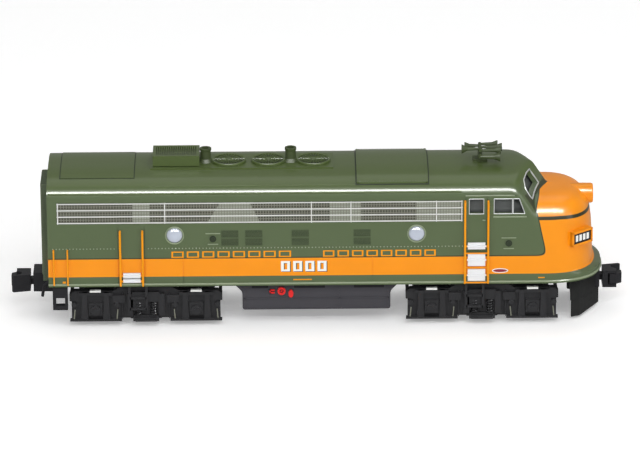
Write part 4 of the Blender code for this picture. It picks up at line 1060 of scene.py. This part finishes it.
def truck_side(kit, light, bright, middle, side):
    """Castings, springs, brake gear and journal covers of one side frame."""
    def limits(near, far):
        return span(side, near, far)

    for end in (-1, 1):
        axle = middle + end * HALF_WHEELBASE
        for offset in (-1.35, 1.35):
            x = axle + offset
            kit.prism(((x - 0.28, 4.5), (x + 0.28, 4.5), (x + 0.45, 0.95), (x - 0.45, 0.95)),
                      *limits(FRAME_FACE, 6.15), "Y")
        kit.box(around(middle + end * 2.9, 0.05), limits(FRAME_FACE, 6.0), (1.0, 4.4))
        tie = sorted((middle + end * 3.0, middle + end * 9.4))
        kit.box(tie, limits(5.6, 6.25), (0.78, 1.02))
        kit.box(around(axle, 0.85), limits(FRAME_FACE, 6.3), (1.6, 3.2))
        kit.rod((axle, side * 6.2, AXLE_Z), (axle, side * 6.55, AXLE_Z), 0.62, sides=20)
        kit.rod((axle, side * 6.5, AXLE_Z), (axle, side * 6.65, AXLE_Z), 0.28, sides=16)
        for across in (-0.6, 0.6):
            for up in (-0.5, 0.5):
                kit.rod((axle + across, side * 6.25, AXLE_Z + up),
                        (axle + across, side * 6.38, AXLE_Z + up), 0.1, sides=8)
        kit.box(around(axle, 2.1), limits(FRAME_FACE, 6.1), (4.1, 4.5))
        bright.box(around(axle, 0.68), limits(5.78, 6.25), (4.62, 4.86))
        for place in (middle + end * 3.6, middle + end * 8.9):
            # Light brake hangers: painted highlight on the black truck castings
            light.rod((place, side * 6.2, 1.1), (place - end * 0.12, side * 6.05, 2.3), 0.07, sides=8)
            kit.rod((place, side * 5.75, 2.9), (place, side * 6.2, 2.9), 0.32, sides=14)
        kit.box(sorted((middle + end * 2.6, middle + end * 4.1)), limits(FRAME_FACE, 6.2), (3.2, 4.2))
        coil(kit, (middle + end * 0.95, side * 6.0, 1.5), 0.36, 1.7, 5, 0.09)
        kit.box(sorted((middle + end * 1.6, middle + end * 2.3)), limits(5.6, 6.3), (1.5, 4.4))
    kit.box(around(middle, 9.2), limits(4.95, 5.6), (1.0, 4.5))
    kit.box(around(middle, 1.7), limits(5.6, 6.2), (3.3, 4.6))
    kit.box(around(middle, 1.6), limits(5.6, 6.5), (0.85, 1.3))
    kit.tube([(middle - 1.5, side * 6.5, 1.45), (middle - 1.3, side * 6.6, 0.95),
              (middle + 1.3, side * 6.6, 0.95), (middle + 1.5, side * 6.5, 1.45)], 0.12)


def step_frame(kit, middle, side):
    """Open box step beside the truck bolster."""
    x = (middle - 2.0, middle + 0.1)
    for place in x:
        kit.box(around(place, 0.15), span(side, 6.15, 6.75), (2.4, 5.6))
    for level in (2.55, 4.0):
        kit.box(x, span(side, 6.15, 6.75), around(level, 0.14))
    kit.box(x, span(side, 6.15, 6.3), (2.5, 4.1))


def truck_details():
    """Relief on both side frames of each truck."""
    for label, middle in TRUCKS:
        kit, light, bright, steps = Kit(), Kit(), Kit(), Kit()
        for _, side in SIDES:
            truck_side(kit, light, bright, middle, side)
            step_frame(steps, middle, side)
        # The light hangers are painted highlight
        pieces = (("castings", kit, TRUCK_PLASTIC), ("hanger_highlights", light, MESH_BAR),
                  ("plates", bright, BRIGHT), ("steps", steps, TRUCK_PLASTIC))
        for name, solids, material in pieces:
            solids.piece("truck_%s_%s" % (name, label), material,
                         "truck_frame_" + label, "truck_" + label)


def tank_details():
    """Tank ribs and slots, with red valves on both sides."""
    for label, side in SIDES:
        kit, dark, red = Kit(), Kit(), Kit()
        kit.box(TANK_X, span(side, TANK_FACE, 6.18), (3.55, 3.7))
        kit.box(TANK_X, span(side, TANK_FACE, 6.14), (2.25, 2.36))
        for x in TANK_RIBS:
            kit.box(x, span(side, TANK_FACE, 6.18), (2.2, 5.8))
        for x in TANK_SLOTS:
            dark.box(x, span(side, TANK_FACE, 6.2), (5.0, 5.35))
        lever = span(side, TANK_FACE, 6.35)
        for far, z in ((-5.2, (4.35, 4.5)), (-5.2, (4.7, 4.85)), (-5.7, (4.35, 4.85))):
            red.box((-5.85, far), lever, z)
        ring = ((0.26, -0.1), (0.5, -0.1), (0.5, 0.2), (0.26, 0.2))
        red.turned(ring, (-4.35, side * 6.2, VALVE_Z), (0, side, 0), 24)
        red.rod((-4.35, side * TANK_FACE, VALVE_Z), (-4.35, side * 6.3, VALVE_Z), 0.12)
        red.prism(ellipse(-3.2, 4.3, 0.3, 0.5), *span(side, TANK_FACE, 6.4), "Y")
        kit.piece("tank_ribs_" + label, GREY_PLASTIC, "fuel_tank")
        dark.piece("tank_slots_" + label, BLACK_PLASTIC, "fuel_tank")
        red.piece("tank_valves_" + label, RED, "fuel_tank")


def plow_details():
    """Brackets from the plow up to the pilot."""
    kit = Kit()
    for side in (-1, 1):
        kit.box((31.4, 32.0), span(side, 4.4, 5.05), (2.6, 6.0))
    kit.piece("plow_brackets", PLOW_PAINT, "snow_plow")


def rear_details():
    """Door, ribs and hoses on the rear wall."""
    kit = Kit()
    for side in (-1, 1):
        kit.box((-33.9, -33.0), span(side, 2.35, 2.75), (4.9, 17.5))
        for number in range(6):
            place = -33.15 - number * 0.13
            kit.box(around(place, 0.03), span(side, 2.6, 2.86), (5.0, 17.4))
    kit.box((-33.9, -33.0), (-2.7, 2.7), (17.2, 17.6))
    kit.piece("gangway_folds", GANGWAY_PAINT, "rear_gangway")
    hose = Kit()
    for side in (-1, 1):
        hose.tube([(-33.0, side * 3.6, 5.3), (-33.8, side * 3.7, 4.6), (-34.0, side * 3.7, 3.2)], 0.2)
    hose.piece("rear_hoses", BLACK_PLASTIC, "coupler_box_rear")


# ---- camera, floor and light


def camera():
    """Camera aimed at the origin and shifted to frame the object."""
    azimuth, elevation, roll = (math.radians(value) for value in (AZIMUTH, ELEVATION, ROLL))
    back = Vector((math.sin(azimuth) * math.cos(elevation),
                   -math.cos(azimuth) * math.cos(elevation), math.sin(elevation)))
    right = Vector((math.cos(azimuth), math.sin(azimuth), 0))
    up = back.cross(right)
    across = right * math.cos(roll) + up * math.sin(roll)
    upward = back.cross(across)
    data = bpy.data.cameras.new("camera")
    data.lens = LENS
    data.sensor_width = SENSOR
    data.shift_x, data.shift_y = SHIFT
    data.clip_start = 0.01
    data.clip_end = 10
    obj = bpy.data.objects.new("camera", data)
    turn = Matrix((across, upward, back)).transposed().to_4x4()
    obj.matrix_world = Matrix.Translation(back * DISTANCE * MM) @ turn
    link(obj)
    bpy.context.scene.camera = obj


def area_light(name, place, size, power, only_shine=False):
    """A rectangular light aimed at the model; it can be seen in gloss alone."""
    data = bpy.data.lights.new(name, "AREA")
    data.shape = "RECTANGLE"
    data.size, data.size_y = size
    data.energy = power
    obj = bpy.data.objects.new(name, data)
    aim = Vector((0, 0, 0.01)) - Vector(place)
    turn = aim.to_track_quat("-Z", "Y").to_matrix().to_4x4()
    obj.matrix_world = Matrix.Translation(Vector(place)) @ turn
    obj.visible_diffuse = not only_shine
    link(obj)


def studio():
    """White floor, even sky and soft lights."""
    floor = Kit()
    floor.box((-1500, 1500), (-1500, 1500), (-1.0, -0.03))
    ground = floor.object("floor")
    paper = plain("floor_white", rgb(250, 250, 250), 0.9, mottle=0.003)
    glow = paper.node_tree.nodes["Principled BSDF"]
    glow.inputs["Emission Color"].default_value = (1.0, 1.0, 1.0, 1.0)
    glow.inputs["Emission Strength"].default_value = 0.3
    ground.data.materials.append(paper)
    ground.visible_glossy = False
    world = bpy.data.worlds.new("studio")
    world.use_nodes = True
    background = world.node_tree.nodes["Background"]
    background.inputs["Color"].default_value = (1.0, 1.0, 1.0, 1.0)
    background.inputs["Strength"].default_value = 0.32
    bpy.context.scene.world = world
    area_light("key", (0.05, -0.26, 0.30), (0.30, 0.12), 0.35)
    area_light("strip", (0.0, -0.33, 0.225), (0.80, 0.035), 0.72)
    area_light("eave_shine", (0.0, -0.30, 0.37), (0.80, 0.14), 15.0, only_shine=True)
    area_light("top", (0.0, 0.16, 0.36), (0.45, 0.25), 0.35)
    area_light("front", (0.34, -0.16, 0.10), (0.12, 0.12), 0.12)
    bpy.context.scene.view_settings.view_transform = "Standard"


def locomotive():
    dress_nodes()
    body_shell()
    side_grilles()
    louvres()
    rivets_and_beads()
    fillers()
    portholes()
    window_frames()
    screen_frames()
    markings()
    corner_grabs()
    headlight_housing()
    number_board_housings()
    roof_details()
    fans()
    stack_rims()
    horn_bracket()
    hatch_ribs()
    truck_details()
    tank_details()
    plow_details()
    rear_details()


locomotive()
camera()
studio()
